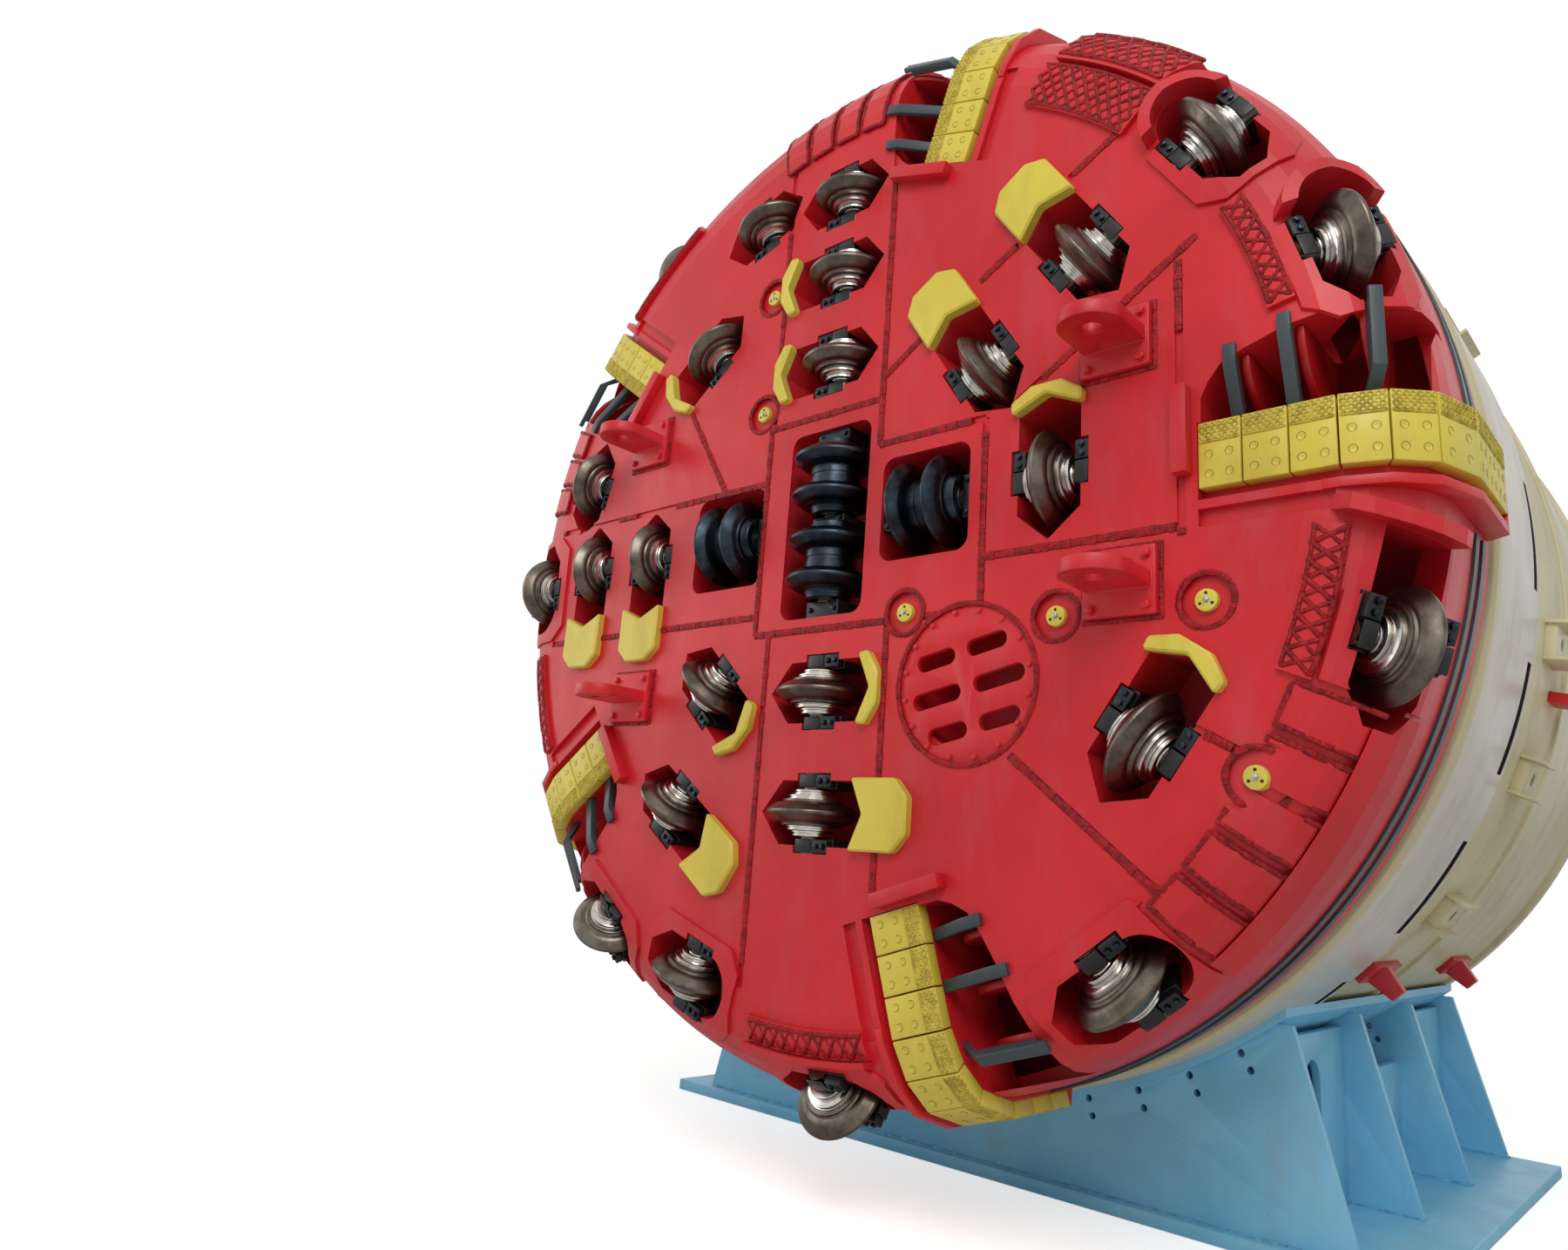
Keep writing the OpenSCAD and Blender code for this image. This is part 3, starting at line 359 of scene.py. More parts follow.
# a copy of a CAD node with its edges broken, which takes the node's place
def softenNode(name, width, segments=2):
    source = cadNodes[name]
    obj = source.copy()
    obj.data = source.data.copy()
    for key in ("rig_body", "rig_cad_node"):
        if key in obj:
            del obj[key]
    obj.parent = None
    bpy.context.scene.collection.objects.link(obj)
    choose(obj)
    bpy.ops.object.mode_set(mode="EDIT")
    bpy.ops.mesh.select_all(action="SELECT")
    bpy.ops.mesh.remove_doubles(threshold=0.00002)
    bpy.ops.mesh.dissolve_limited(angle_limit=math.radians(0.6))
    bpy.ops.object.mode_set(mode="OBJECT")
    bevelAll(obj, width, segments)
    smoothEdges(obj, 34)
    dress(obj, name + "_broken_edges", bodyOf[name], source.data.materials[0])
    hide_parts(name)
    return obj


softened = {
    "bucket_lips": 0.004, "cutter_guards": 0.028, "lifting_lugs": 0.006, "manhole_cover": 0.004,
    "bucket_beams": 0.004, "bucket_fins": 0.006, "grizzly_bars": 0.003,
    "cutter_saddles": 0.003, "ram_brackets": 0.003, "shield_lugs": 0.005, "cradle_webs": 0.004,
    "cradle_sides": 0.004, "cradle_base": 0.005, "shield_front": 0.004, "shield_rear": 0.004,
}
broken = {}
for name, width in softened.items():
    broken[name] = softenNode(name, width, 1 if name == "cutter_guards" else 2)
print("edges broken on", len(broken), "nodes")


# local X outward from the axis, Y into the head, Z along the turn
def headPlace(angle, radius=0.0, depth=0.0, tilt=0.0):
    middle = Matrix.Translation((0, head["faceY"], head["axisZ"]))
    turned = middle @ Matrix.Rotation(-math.radians(angle), 4, "Y")
    return turned @ Matrix.Translation((radius, depth, 0)) @ Matrix.Rotation(math.radians(tilt), 4, "Z")


def surfaceTilt(radius):
    over = max(radius - head["radius"] + head["corner"], 0)
    return math.asin(min(over / head["corner"], 1))


# a point of the head's surface, raised by a height, and the direction out of the surface there
def headPoint(angle, radius, height=0.0):
    tilt = surfaceTilt(radius)
    depth = head["corner"] * (1 - math.cos(tilt))
    return headPlace(angle) @ Vector((radius + height * math.sin(tilt), depth - height * math.cos(tilt), 0))


def headNormal(angle, radius):
    tilt = surfaceTilt(radius)
    return headPlace(angle).to_3x3() @ Vector((math.sin(tilt), -math.cos(tilt), 0))


# the cutters' places: angle, radius, depth, tilt, kind
# kind 0 has no guard, 1 and 2 have one, 3 and above stand in frames on the gauge corner
cutterPlaces = {
    "a": (90, 1.848, 0, 0, 0), "b": (90, 1.384, 0, 0, 1), "c": (90, 0.870, 0, 0, 1),
    "d": (107.7, 1.975, 0, 0, 0), "e": (128.7, 1.516, 0, 0, 1), "f": (128.5, 2.597, 0.214, 62, 3),
    "g": (164, 2.044, 0, 0, 0), "h": (182, 2.355, 0, 8, 3), "i": (180, 1.860, 0, 0, 2),
    "j": (180, 1.327, 0, 0, 2), "k": (0, 1.235, 0, 0, 1), "l": (33, 1.072, 0, 0, 2),
    "m": (35.3, 1.703, 0, 0, 2), "n": (34.9, 2.361, 0.014, 10, 4), "o": (17.2, 2.510, 0.101, 41.5, 4),
    "p": (-17.6, 2.613, 0.173, 54.5, 5), "q": (-34.2, 1.965, 0, 0, 1), "r": (-52.7, 2.501, 0.093, 39.6, 3),
    "s": (-90, 0.841, 0, 0, 1), "t": (-90, 1.402, 0, 0, 2), "u": (-133.4, 1.068, 0, 0, 1),
    "v": (-124.5, 1.676, 0, 0, 2), "w": (-107.7, 2.293, 0, 4, 3), "x": (-125.5, 2.480, 0.048, 30, 3),
    "y": (-87, 2.631, 0.180, 55.8, 3),
}
twinPlaces = {"top": (0, 0.235, True), "bottom": (0, -0.195, True), "left": (-0.686, 0, False),
              "right": (0.597, 0, False)}

# half of a single cutter as radius and place along its axis, from the bore out to the cutting edge
discCutter = {
    "sides": 64, "hubTo": 0.128,
    "half": [(50.1, 105), (58, 105), (60, 101), (70, 101), (72, 105), (90, 105), (92, 103), (92, 96),
             (88, 94), (88, 90), (96, 88), (96, 83), (112, 80), (118, 78), (118, 72), (114, 70), (114, 66),
             (122, 64), (122, 61), (138, 60), (142, 58), (143, 50), (150, 44), (158, 43), (170, 42),
             (182, 34), (200, 20), (208, 13), (214, 8.5), (215.6, 4.5), (216, 2)],
}
twinCutter = {
    "sides": 64,
    "half": [(50.1, 190), (62, 190), (64, 186), (78, 186), (80, 190), (108, 190), (110, 188), (112, 178),
             (118, 160), (124, 156), (124, 152), (140, 150), (142, 148), (150, 144), (170, 142), (182, 134),
             (200, 120), (214, 109), (215.6, 104.5), (216, 102), (216, 98), (215.6, 95.5), (214, 91),
             (200, 80), (182, 66), (170, 58), (150, 56), (142, 52), (128, 48), (128, 12), (124, 9), (124, 0)],
}


# turns a profile on a lathe: a ring is extruded and scaled step by step, then its ends are bridged
def turnProfile(name, half, sides):
    steps = [(r / 1000, -x / 1000) for r, x in half]
    steps += [(r / 1000, x / 1000) for r, x in reversed(half) if x > 0]
    clearSelection()
    bpy.ops.mesh.primitive_circle_add(vertices=sides, radius=steps[0][0], fill_type="NOTHING",
                                      location=(steps[0][1], 0, 0), rotation=(0, math.pi / 2, 0))
    obj = bpy.context.object
    bpy.ops.object.transform_apply(location=True, rotation=True, scale=True)
    bpy.ops.object.mode_set(mode="EDIT")
    bpy.ops.mesh.select_mode(type="EDGE")
    bpy.ops.mesh.select_all(action="SELECT")
    for (r0, x0), (r1, x1) in zip(steps, steps[1:]):
        bpy.ops.mesh.extrude_edges_move(TRANSFORM_OT_translate={"value": (x1 - x0, 0, 0)})
        bpy.ops.transform.resize(value=(1, r1 / r0, r1 / r0), center_override=(x1, 0, 0))
    bpy.ops.mesh.select_all(action="DESELECT")
    bpy.ops.mesh.select_non_manifold()
    bpy.ops.mesh.bridge_edge_loops()
    bpy.ops.mesh.select_all(action="SELECT")
    bpy.ops.mesh.normals_make_consistent(inside=False)
    bpy.ops.object.mode_set(mode="OBJECT")
    # u follows the profile and v the angle, for the turning marks
    uv = obj.data.uv_layers.new(name="lathe")
    for loop in obj.data.loops:
        at = obj.data.vertices[loop.vertex_index].co
        uv.data[loop.index].uv = (at.x + 0.6 * math.hypot(at.y, at.z), math.atan2(at.z, at.y) / math.tau)
    smoothEdges(obj, 30)
    obj.name = name
    return obj


single = turnProfile("disc_cutter", discCutter["half"], discCutter["sides"])
paint(single, ringSteel, hubSteel)
for face in single.data.polygons:
    face.material_index = 1 if math.hypot(face.center.y, face.center.z) < discCutter["hubTo"] else 0
for key, (angle, radius, depth, tilt, kind) in cutterPlaces.items():
    place = headPlace(angle, radius, depth, tilt) @ Matrix.Translation((0, head["axisDepth"], 0))
    disc = copyPiece(single, place)
    dress(disc, "disc_cutter_" + key, "cutter_" + key, None)
    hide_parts("cutter_" + key)
dropPiece(single)
double = turnProfile("twin_cutter", twinCutter["half"], twinCutter["sides"])
paint(double, centreSteel)
for key, (x, z, upright) in twinPlaces.items():
    place = Matrix.Translation((x, head["faceY"] + head["axisDepth"], head["axisZ"] + z))
    if upright:
        place = place @ Matrix.Rotation(-math.pi / 2, 4, "Y")
    disc = copyPiece(double, place)
    dress(disc, "twin_cutter_" + key, "twin_" + key, None)
    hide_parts("twin_" + key)
dropPiece(double)
print("cutters turned")

# a hexagon bolt with its washer, 1 m across the washer, its head towards -Y
bolt = {"washer": 0.5, "head": 0.40, "high": 0.28, "thick": 0.09, "rim": 0.07, "sunk": 0.04}
clearSelection()
bpy.ops.mesh.primitive_cylinder_add(vertices=18, radius=bolt["washer"], depth=bolt["thick"],
                                    location=(0, -bolt["thick"] / 2, 0), rotation=(math.pi / 2, 0, 0))
boltShape = bpy.context.object
placeInMesh(boltShape)
headMiddle = (0, -bolt["thick"] - bolt["high"] / 2, 0)
bpy.ops.mesh.primitive_cylinder_add(vertices=6, radius=bolt["head"], depth=bolt["high"],
                                    location=headMiddle, rotation=(math.pi / 2, 0, 0))
boltHead = bpy.context.object
placeInMesh(boltHead)
pickFaces(boltHead, lambda face: face.normal.y < -0.9)
bpy.ops.mesh.inset(thickness=bolt["rim"])
bpy.ops.transform.translate(value=(0, -bolt["sunk"], 0))
bpy.ops.object.mode_set(mode="OBJECT")
boltShape = joinPieces([boltShape, boltHead], "bolt_shape")


def boltPlace(where, size, turn=0.0):
    return where @ Matrix.Rotation(turn, 4, "Y") @ Matrix.Diagonal((size, size, size, 1))


# clamps that hold the shafts down: a strap over the shaft end and a wedge block with two bolts
clamp = {"x0": 0.116, "x1": 0.177, "strap": (0.002, 0.010, -0.048, 0.048),
         "wedge": (0.006, 0.0445, 0.055, 0.140), "bolts": ((0.1465, 0.077), (0.1465, 0.119)),
         "bolt": 0.032, "edge": 0.004}


def block(x0, x1, y0, y1, z0, z1, bevel):
    clearSelection()
    bpy.ops.mesh.primitive_cube_add(size=1, location=((x0 + x1) / 2, (y0 + y1) / 2, (z0 + z1) / 2),
                                    scale=(x1 - x0, y1 - y0, z1 - z0))
    obj = bpy.context.object
    placeInMesh(obj)
    bevelAll(obj, bevel, 2)
    return obj


clampParts = []
for side in (-1, 1):
    low, high = sorted((side * clamp["x0"], side * clamp["x1"]))
    for y0, y1, z0, z1 in (clamp["strap"], clamp["wedge"]):
        clampParts.append(block(low, high, y0, y1, z0, z1, clamp["edge"]))
clampShape = joinPieces(clampParts, "clamp_shape")
clampPlaces = [headPlace(*place[:4]) for place in cutterPlaces.values()]
repeatPiece(clampShape, clampPlaces, "saddle_clamps", "cutterhead", saddleBlack)
dropPiece(clampShape)
boltPlaces = []
for place in clampPlaces:
    for side in (-1, 1):
        for x, z in clamp["bolts"]:
            where = place @ Matrix.Translation((side * x, clamp["wedge"][0], z))
            boltPlaces.append(boltPlace(where, clamp["bolt"], random.random()))
# the twin cutters' saddles: X from, X to, Z from, Z to; a bolt at each end of each
twinSaddles = {"end": 0.076, "depth": 0.020,
               "blocks": [(-0.100, 0.100, 0.432, 0.4963), (-0.100, 0.100, 0.002, 0.038),
                          (-0.100, 0.100, -0.4763, -0.392), (-0.9433, -0.883, -0.100, 0.100),
                          (-0.489, -0.4287, -0.100, 0.100), (0.3522, 0.400, -0.100, 0.100),
                          (0.794, 0.8418, -0.100, 0.100)]}
for x0, x1, z0, z1 in twinSaddles["blocks"]:
    wide = x1 - x0 > z1 - z0
    for end in (-twinSaddles["end"], twinSaddles["end"]):
        x, z = (x0 + x1) / 2 + (end if wide else 0), (z0 + z1) / 2 + (0 if wide else end)
        where = headPlace(0, x, twinSaddles["depth"]) @ Matrix.Translation((0, 0, z))
        boltPlaces.append(boltPlace(where, clamp["bolt"], random.random()))
repeatPiece(boltShape, boltPlaces, "saddle_bolts", "cutterhead", centreSteel)
print("clamps and bolts set")

# one short weld bead, 1 m long, wide and high, with rounded ends
bead = {"sides": 6, "body": 0.86, "tip": 0.5}
clearSelection()
bpy.ops.mesh.primitive_cylinder_add(vertices=bead["sides"], radius=0.5, depth=bead["body"],
                                    rotation=(0, math.pi / 2, 0))
beadShape = bpy.context.object
placeInMesh(beadShape)
for side in (-1, 1):
    pickFaces(beadShape, lambda face: face.normal.x * side > 0.9)
    bpy.ops.mesh.extrude_region_move(TRANSFORM_OT_translate={"value": (side * (1 - bead["body"]) / 2, 0, 0)})
    bpy.ops.transform.resize(value=(1, bead["tip"], bead["tip"]))
    bpy.ops.object.mode_set(mode="OBJECT")


def beadPlace(start, end, normal, width, height):
    along = (end - start).normalized()
    across = along.cross(normal).normalized()
    turn = Matrix((along, across.cross(along), across)).transposed().to_4x4()
    scale = Matrix.Diagonal(((end - start).length, height, width, 1))
    return Matrix.Translation((start + end) / 2) @ turn @ scale


# a row of beads along points of the head's surface, each (angle, radius); they overlap like scales
def surfaceBeads(points, width, height, lift=0.0, overlap=0.45):
    row = []
    for (a0, r0), (a1, r1) in zip(points, points[1:]):
        start, end = headPoint(a0, r0, lift), headPoint(a1, r1, lift)
        wobble = random.uniform(0.85, 1.2)
        normal = headNormal((a0 + a1) / 2, (r0 + r1) / 2)
        row.append(beadPlace(start, end + (end - start) * overlap, normal, width * wobble, height * wobble))
    return row


# a flat point of the face as angle and radius
def polar(x, z):
    return (math.degrees(math.atan2(z, x)), math.hypot(x, z))


def stepsBetween(start, end, size):
    count = max(1, round(math.dist(start, end) / size))
    return [tuple(s + (e - s) * i / count for s, e in zip(start, end)) for i in range(count + 1)]


# what is welded on the flat face; a bead is given as width, height and lift above the surface
nozzles = {"ring": 0.104, "steps": 32, "bead": (0.024, 0.020, -0.002), "room": 0.140,
           "places": [(-0.501, 1.387), (-0.501, 0.690), (0.519, -0.508), (1.278, -0.599), (1.888, -0.599),
                      (2.044, -1.234)]}
lugs = {"halfX": 0.158, "halfZ": 0.143, "step": 0.022, "bead": (0.022, 0.020, 0),
        "boltX": 0.115, "boltZ": 0.100, "boltHigh": 0.035, "bolt": 0.044,
        "places": [(-1.425, 0.705), (-1.343, -0.810), (1.543, 0.515), (1.561, -0.501)]}
manhole = {"x": 0.853, "z": -0.846, "radius": 0.345, "steps": 100, "bead": (0.024, 0.018, 0),
           "bolts": 16, "boltRing": 0.315, "boltSunk": 0.006, "bolt": 0.028}

# weld seams between the face's segments: from X, Z to X, Z in millimetres
seams = {
    "bead": (0.036, 0.022, -0.002), "step": 0.020,
    "lines": [
        (-410, 581, -410, 2200), (319, 340, 319, 2200), (-425, 581, 319, 581), (319, 340, 918, 340),
        (-425, -537, -425, 581), (918, -537, 918, 340), (-425, -537, 918, -537),
        (-2230, 280, -425, 280), (-2200, -439, -425, -439), (-327, -2200, -327, -537),
        (421, -1750, 421, -537), (918, -305, 1790, -305), (1800, -340, 1800, 800), (1080, 380, 1870, 890),
        (-740, 280, -1160, 930), (320, 690, 540, 840), (860, 1030, 1060, 1150), (1310, 1390, 1600, 1550),
        (1080, -1150, 1700, -1640), (1640, -960, 2000, -1150)],
}

# how far seams keep off the openings: pockets, buckets, nozzles, manhole and the twin cutters' windows,
# these as X, Z, half width, half height
rooms = {"pocket": 0.185, "pocketLow": -0.29, "pocketHigh": 0.34, "guardHigh": 0.40, "bucketFrom": 1.78,
         "bucketLow": -0.33, "bucketHigh": 0.50, "nozzle": 0.125, "manhole": 0.35,
         "windows": [(0, 0.010, 0.260, 0.487), (-0.686, 0, 0.258, 0.263), (0.597, 0, 0.245, 0.254)]}


# whether a point of the face lies over an opening, where a seam stops
def overOpening(x, z):
    for angle, radius, depth, tilt, kind in cutterPlaces.values():
        a = math.radians(angle)
        outward = x * math.cos(a) + z * math.sin(a) - radius
        along = z * math.cos(a) - x * math.sin(a)
        reach = rooms["guardHigh"] if kind else rooms["pocketHigh"]
        if abs(outward) < rooms["pocket"] and rooms["pocketLow"] < along < reach:
            return True
    for x0, z0, halfX, halfZ in rooms["windows"]:
        if abs(x - x0) < halfX and abs(z - z0) < halfZ:
            return True
    for x0, z0 in nozzles["places"]:
        if math.hypot(x - x0, z - z0) < rooms["nozzle"]:
            return True
    if math.hypot(x - manhole["x"], z - manhole["z"]) < rooms["manhole"]:
        return True
    for turn in range(5):
        a = math.radians(72 * turn)
        outward = x * math.cos(a) + z * math.sin(a)
        along = z * math.cos(a) - x * math.sin(a)
        if outward > rooms["bucketFrom"] and rooms["bucketLow"] < along < rooms["bucketHigh"]:
            return True
    return False


# whether a point lies in a nozzle's seat, where the beads of the radial plates stop
def nearNozzle(angle, radius):
    x, z = radius * math.cos(math.radians(angle)), radius * math.sin(math.radians(angle))
    return any(math.hypot(x - x0, z - z0) < nozzles["room"] for x0, z0 in nozzles["places"])


redBeads = []
for x0, z0, x1, z1 in seams["lines"]:
    points = stepsBetween((x0 / 1000, z0 / 1000), (x1 / 1000, z1 / 1000), seams["step"])
    for start, end in zip(points, points[1:]):
        middle = ((start[0] + end[0]) / 2, (start[1] + end[1]) / 2)
        if not overOpening(*middle):
            line = [polar(*start), polar(*end)]
            redBeads += surfaceBeads(line, *seams["bead"])

# beads on the hatched plates in a diamond lattice of about 60 mm: angles, radii, plate height
hatched = {
    "cell": 0.064, "width": 0.019, "height": 0.019, "inset": 0.012, "sunk": 0.003, "overlap": 0.1,
    "plates": [(-22.2, -9.2, 2.293, 2.410, 0.022), (12.6, 26, 2.197, 2.300, 0.022),
               (43.6, 60, 2.157, 2.376, 0.022), (44, 59, 2.400, 2.592, 0.040),
               (-96.3, -79.7, 2.319, 2.432, 0.022), (-167.6, -152.5, 2.310, 2.400, 0.022),
               (120, 137, 2.395, 2.455, 0.030)],
}
hatchBeads = []
for a0, a1, r0, r1, high in hatched["plates"]:
    edge = math.degrees(hatched["inset"] / r0)
    a0, a1, r0, r1 = a0 + edge, a1 - edge, r0 + hatched["inset"], r1 - hatched["inset"]
    across = max(1, round((r1 - r0) / hatched["cell"]))
    along = max(2, round(math.radians(a1 - a0) * r0 / hatched["cell"]))
    lines = []
    for i in range(along):
        left, right = (a0 + (a1 - a0) * k / along for k in (i, i + 1))
        lines += [[(left, r0), (right, r0)], [(left, r1), (right, r1)]]
        for j in range(across):
            near, far = (r0 + (r1 - r0) * k / across for k in (j, j + 1))
            lines += [[(left, near), (right, far)], [(left, far), (right, near)]]
    lift = high - hatched["sunk"]
    for line in lines:
        hatchBeads += surfaceBeads(line, hatched["width"], hatched["height"], lift, hatched["overlap"])
repeatPiece(beadShape, hatchBeads, "hatch_weld_beads", "cutterhead", weldRed, 60)
print("hatch beads", len(hatchBeads))

# rough beads along both edges of each radial plate: first angle, number of plates, inner radius
fields = {"pitch": 4.7, "turn": 3.7, "end": 2.592, "bead": (0.022, 0.018, 0.012),
          "step": 0.026, "endBeads": 8, "rows": [(-45.3, 5, 2.358), (84.2, 4, 2.190), (156.2, 3, 2.260)]}
for first, count, inner in fields["rows"]:
    for k in range(count):
        for edge in (0, fields["turn"]):
            angle = first + fields["pitch"] * k + edge
            rows = [[(angle, r) for (r,) in stepsBetween((inner,), (fields["end"],), fields["step"])]]
            if edge:
                beads = fields["endBeads"]
                rows.append([(angle - edge * i / beads, inner) for i in range(beads + 1)])
            for row in rows:
                for pair in zip(row, row[1:]):
                    if not nearNozzle(*pair[0]):
                        redBeads += surfaceBeads(pair, *fields["bead"])


# closed rows of beads round a circle and round a rectangle on the flat face
def ringBeads(x, z, radius, count, size):
    points = [polar(x + radius * math.cos(math.tau * i / count), z + radius * math.sin(math.tau * i / count))
              for i in range(count + 1)]
    return surfaceBeads(points, *size)


def frameBeads(x, z, halfX, halfZ, step, size):
    corners = [(x - halfX, z - halfZ), (x + halfX, z - halfZ), (x + halfX, z + halfZ), (x - halfX, z + halfZ)]
    row = []
    for start, end in zip(corners, corners[1:] + corners[:1]):
        row += surfaceBeads([polar(*p) for p in stepsBetween(start, end, step)], *size)
    return row


for x, z in nozzles["places"]:
    redBeads += ringBeads(x, z, nozzles["ring"], nozzles["steps"], nozzles["bead"])
for x, z in lugs["places"]:
    redBeads += frameBeads(x, z, lugs["halfX"], lugs["halfZ"], lugs["step"], lugs["bead"])
redBeads += ringBeads(manhole["x"], manhole["z"], manhole["radius"], manhole["steps"], manhole["bead"])
repeatPiece(beadShape, redBeads, "face_weld_beads", "cutterhead", weldRed, 60)
print("face beads", len(redBeads))

# the lips' profile in radius and depth, as in the part's source
lips = {"flat": 2.340, "bend": 0.372,
        "stops": [1.864, 2.029, 2.194, 2.359, 2.524, 2.689, 2.925, 3.075, 3.225, 3.375],
        "bead": (0.009, 0.010), "cell": 0.025, "band": (0.012, 0.087), "end": 0.009,
        "borderEnd": 0.006, "borderOff": 0.003,
        "boltRows": (-0.040, -0.118), "boltShares": (0.27, 0.73)}


def lipPoint(length):
    bend = (length - lips["flat"]) / lips["bend"]
    if bend <= 0:
        return Vector((length, 0))
    if bend < math.pi / 2:
        return Vector((lips["flat"] + lips["bend"] * math.sin(bend), lips["bend"] * (1 - math.cos(bend))))
    return Vector((lips["flat"] + lips["bend"], length - lips["flat"] - lips["bend"] * (math.pi / 2 - 1)))


# a plate's own axes: X along its profile, Y into the plate, Z along the turn
def platePlace(around, start, run):
    columns = [Vector((run.x, run.y, 0)), Vector((-run.y, run.x, 0)), Vector((0, 0, 1))]
    return around @ Matrix.Translation((start.x, start.y, 0)) @ Matrix(columns).transposed().to_4x4()


yellowBeads, recessPlaces = [], []
for turn in range(5):
    for first, last in zip(lips["stops"], lips["stops"][1:]):
        start, end = lipPoint(first), lipPoint(last)
        length = (end - start).length
        plate = platePlace(headPlace(72 * turn), start, (end - start).normalized())
        normal = plate.to_3x3() @ Vector((0, -1, 0))
        low, high = lips["band"]
        inside = length - 2 * lips["end"]
        columns = round(inside / lips["cell"])
        rows = round((high - low) / lips["cell"])
        border = low - lips["borderOff"]
        strokes = [(lips["borderEnd"], border, length - lips["borderEnd"], border)]
        for i in range(columns):
            left, right = (lips["end"] + inside * k / columns for k in (i, i + 1))
            for j in range(rows):
                near, far = (low + (high - low) * k / rows for k in (j, j + 1))
                strokes += [(left, near, right, far), (left, far, right, near)]
        for u0, z0, u1, z1 in strokes:
            ends = [plate @ Vector((u0, 0, z0)), plate @ Vector((u1, 0, z1))]
            yellowBeads.append(beadPlace(*ends, normal, *lips["bead"]))
        for share in lips["boltShares"]:
            recessPlaces += [plate @ Matrix.Translation((length * share, 0, z)) for z in lips["boltRows"]]
repeatPiece(beadShape, yellowBeads, "lip_hard_facing", "cutterhead", weldYellow, 60)
print("lip beads", len(yellowBeads))


# a flat disc with its front towards -Y, the middle of its front sunk
def flatDisc(radius, thick, sides, rim, sink):
    clearSelection()
    bpy.ops.mesh.primitive_cylinder_add(vertices=sides, radius=radius, depth=thick,
                                        rotation=(math.pi / 2, 0, 0))
    obj = bpy.context.object
    placeInMesh(obj)
    pickFaces(obj, lambda face: face.normal.y < -0.9)
    bpy.ops.mesh.inset(thickness=rim)
    bpy.ops.transform.translate(value=(0, sink, 0))
    bpy.ops.object.mode_set(mode="OBJECT")
    return obj


# bolt recesses in the lips: a near-black disc of painted shadow in the bore, with the bolt's plug set off its
# middle along the turn, which leaves a crescent of painted shadow where a recess's wall would throw shade
recess = {"bore": {"radius": 0.0155, "thick": 0.004, "sides": 24, "rim": 0.003, "sink": 0.0015},
          "plug": {"radius": 0.0122, "thick": 0.005, "sides": 24, "rim": 0.003, "sink": 0.0016},
          "boreSunk": 0.0012, "plugSunk": 0.0005, "shift": -0.0036}
bore = flatDisc(**recess["bore"])
borePlaces = [place @ Matrix.Translation((0, recess["boreSunk"], 0)) for place in recessPlaces]
repeatPiece(bore, borePlaces, "lip_bolt_bore_shadows", "cutterhead", paintedShadeBlack)
dropPiece(bore)
plug = flatDisc(**recess["plug"])
plugPlaces = [place @ Matrix.Translation((0, recess["plugSunk"], recess["shift"])) for place in recessPlaces]
repeatPiece(plug, plugPlaces, "lip_bolt_plugs", "cutterhead", wearYellow)
dropPiece(plug)
print("lips dressed")

# nozzle discs: a yellow cover with three small holes round a bright nut; the holes are flat near-black discs
# of painted shade
cover = {"radius": 0.042, "thick": 0.012, "edge": 0.002, "sunk": 0.003, "nut": 0.024, "nutProud": 0.003,
         "hole": {"radius": 0.006, "thick": 0.002, "sides": 14, "rim": 0.0012, "sink": 0},
         "holeRing": 0.026, "holeProud": 0.0028}
clearSelection()
bpy.ops.mesh.primitive_cylinder_add(vertices=32, radius=cover["radius"], depth=cover["thick"],
                                    rotation=(math.pi / 2, 0, 0))
disc = bpy.context.object
placeInMesh(disc)
bevelAll(disc, cover["edge"], 2)
discPlaces = [headPlace(0) @ Matrix.Translation((x, cover["sunk"], z)) for x, z in nozzles["places"]]
repeatPiece(disc, discPlaces, "nozzle_covers", "cutterhead", wearYellow)
dropPiece(disc)
holePlaces, nutPlaces = [], []
for x, z in nozzles["places"]:
    where = headPlace(0) @ Matrix.Translation((x, -cover["nutProud"], z))
    nutPlaces.append(boltPlace(where, cover["nut"]))
    for turn in radians(90, 210, 330):
        dx, dz = cover["holeRing"] * math.cos(turn), cover["holeRing"] * math.sin(turn)
        holePlaces.append(headPlace(0) @ Matrix.Translation((x + dx, -cover["holeProud"], z + dz)))
# the holes: near-black discs of painted shade, set just proud of the cover
hole = flatDisc(**cover["hole"])
repeatPiece(hole, holePlaces, "nozzle_hole_shade", "cutterhead", paintedShadeBlack)
dropPiece(hole)

# nuts of the nozzles; bolts of the lug bases and the manhole cover, under the same red enamel
repeatPiece(boltShape, nutPlaces, "nozzle_nuts", "cutterhead", boltSteel)
faceBolts = []
for x, z in lugs["places"]:
    for sx in (-1, 1):
        for sz in (-1, 1):
            corner = (x + sx * lugs["boltX"], -lugs["boltHigh"], z + sz * lugs["boltZ"])
            where = headPlace(0) @ Matrix.Translation(corner)
            faceBolts.append(boltPlace(where, lugs["bolt"], random.random()))
for i in range(manhole["bolts"]):
    turn = math.tau * (i + 0.5) / manhole["bolts"]
    x = manhole["x"] + manhole["boltRing"] * math.cos(turn)
    z = manhole["z"] + manhole["boltRing"] * math.sin(turn)
    where = headPlace(0) @ Matrix.Translation((x, manhole["boltSunk"], z))
    faceBolts.append(boltPlace(where, manhole["bolt"], random.random()))
repeatPiece(boltShape, faceBolts, "face_bolts", "cutterhead", headRed)
print("face bolts", len(faceBolts))

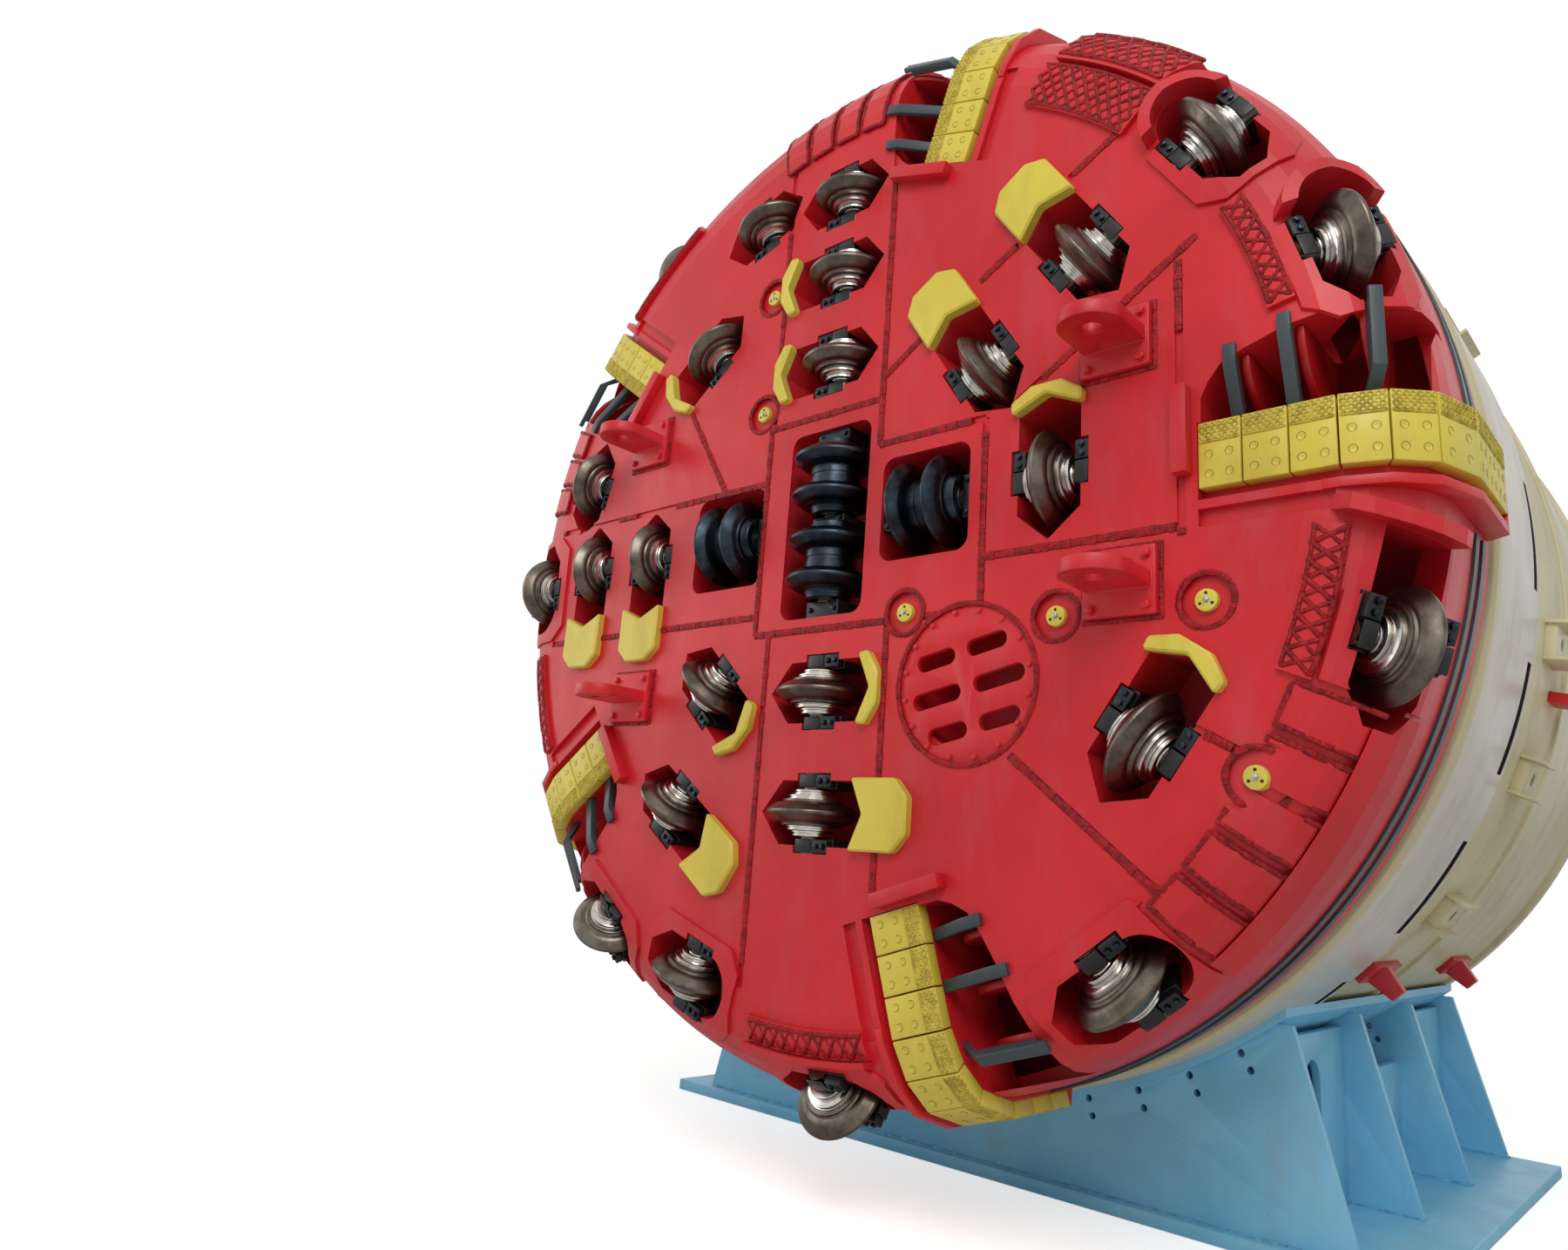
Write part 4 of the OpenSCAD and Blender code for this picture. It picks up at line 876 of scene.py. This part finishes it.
# bolts round the shield's rear flange and round the motors' feet, their heads to the rear
flange = {"ring": 2.530, "depth": 4.370, "bolts": 60, "bolt": 0.060}
motors = {"count": 8, "ring": 1.5, "depth": 3.000, "bolts": 10, "boltRing": 0.265, "bolt": 0.034}
backwards = Matrix.Rotation(math.pi, 4, "Z")
rootBolts = []
for i in range(flange["bolts"]):
    where = headPlace(360 * i / flange["bolts"], flange["ring"], flange["depth"]) @ backwards
    rootBolts.append(boltPlace(where, flange["bolt"], random.random()))
for i in range(motors["count"]):
    middle = headPlace(360 / motors["count"] * (i + 0.5), motors["ring"], motors["depth"])
    for k in range(motors["bolts"]):
        turn = math.tau * k / motors["bolts"]
        across, along = motors["boltRing"] * math.cos(turn), motors["boltRing"] * math.sin(turn)
        where = middle @ Matrix.Translation((across, 0, along)) @ backwards
        rootBolts.append(boltPlace(where, motors["bolt"], random.random()))
repeatPiece(boltShape, rootBolts, "shield_bolts", "root", boltSteel)
dropPiece(boltShape)

# welds along both sides of each of the cradle's webs
cradle = {"base": 0.060, "front": -1.475, "webs": 4, "pitch": 0.970, "web": 0.040, "halfFoot": 1.900,
          "beads": 38, "step": 0.100, "length": 0.108, "bead": 0.020}
blueBeads = []
for k in range(cradle["webs"]):
    front = cradle["front"] + cradle["pitch"] * k
    for y, out in ((front, -1), (front + cradle["web"], 1)):
        for i in range(cradle["beads"]):
            x0 = -cradle["halfFoot"] + cradle["step"] * i
            start, end = Vector((x0, y, cradle["base"])), Vector((x0 + cradle["length"], y, cradle["base"]))
            size = cradle["bead"] * random.uniform(0.9, 1.15)
            blueBeads.append(beadPlace(start, end, Vector((0, out, 1)).normalized(), size, size))
repeatPiece(beadShape, blueBeads, "cradle_weld_beads", "root", weldBlue, 60)
dropPiece(beadShape)

# the slots of the front ring are painted near black inside, as painted shade: their radii and depths
slots = {"out": (2.603, 2.655), "deep": (1.70, 1.85)}
ring = broken["shield_front"]
ring.data.materials.append(paintedShadeBlack)
for face in ring.data.polygons:
    out = math.hypot(face.center.x, face.center.z - head["axisZ"])
    deep = face.center.y - head["faceY"]
    if slots["out"][0] < out < slots["out"][1] and slots["deep"][0] < deep < slots["deep"][1]:
        face.material_index = 1
print("shield and cradle dressed")

# a pale floor; the light comes from the front right and above
stage = {"floor": 90, "pale": "#F4F3F0", "glow": 0.60, "world": 0.42, "lamp": 6.0,
         "key": 640, "keyPlace": (5.5, -10.5, 9.5), "fill": 170, "fillPlace": (-9, -7, 5),
         "fillAim": (0, -1, 3), "drop": 0.002}
clearSelection()
bpy.ops.mesh.primitive_plane_add(size=stage["floor"], location=(0, 0, -stage["drop"]))
floor = bpy.context.object
floor.name = "studio_floor"
floorMat, floorShader = newMaterial("pale matt floor", Roughness=0.9)
floorShader.inputs["Base Color"].default_value = hexColour(stage["pale"])
floorPath = addNode(floorMat, "LightPath")
floorGlow = addNode(floorMat, "Emission", {"Color": (1, 1, 1, 1)})
glowShare = addNode(floorMat, "Math", {"operation": "MULTIPLY", 1: stage["glow"]},
                    {0: (floorPath, "Is Camera Ray")})
join(floorMat, glowShare, "Value", floorGlow, "Strength")
floorSum = addNode(floorMat, "AddShader", {}, {0: (floorShader, "BSDF"), 1: (floorGlow, "Emission")})
join(floorMat, floorSum, "Shader", floorMat.node_tree.nodes["Material Output"], "Surface")
paint(floor, floorMat)

world = bpy.data.worlds.new("studio")
bpy.context.scene.world = world
world.use_nodes = True
sky = world.node_tree.nodes["Background"]
sky.inputs["Color"].default_value = (0.93, 0.96, 1.0, 1)
sky.inputs["Strength"].default_value = stage["world"]
backdrop = addNode(world, "Background", {"Color": (1, 1, 1, 1), "Strength": 1.0})
path = addNode(world, "LightPath")
cameraOrGloss = addNode(world, "Math", {"operation": "MAXIMUM"},
                        {0: (path, "Is Camera Ray"), 1: (path, "Is Glossy Ray")})
seen = addNode(world, "Math", {"operation": "MAXIMUM"},
               {0: (cameraOrGloss, "Value"), 1: (path, "Is Transmission Ray")})
pick = addNode(world, "MixShader", {},
               {0: (seen, "Value"), 1: (sky, "Background"), 2: (backdrop, "Background")})
join(world, pick, "Shader", world.node_tree.nodes["World Output"], "Surface")


def softBox(name, place, aim, size, power):
    lamp = bpy.data.lights.new(name, "AREA")
    lamp.shape = "SQUARE"
    lamp.size = size
    lamp.energy = power
    obj = bpy.data.objects.new(name, lamp)
    bpy.context.scene.collection.objects.link(obj)
    obj.location = place
    obj.rotation_euler = (Vector(aim) - Vector(place)).to_track_quat("-Z", "Y").to_euler()


softBox("key", stage["keyPlace"], (0, head["faceY"], head["axisZ"]), stage["lamp"], stage["key"])
softBox("fill", stage["fillPlace"], stage["fillAim"], stage["lamp"], stage["fill"])
print("stage and lights set")
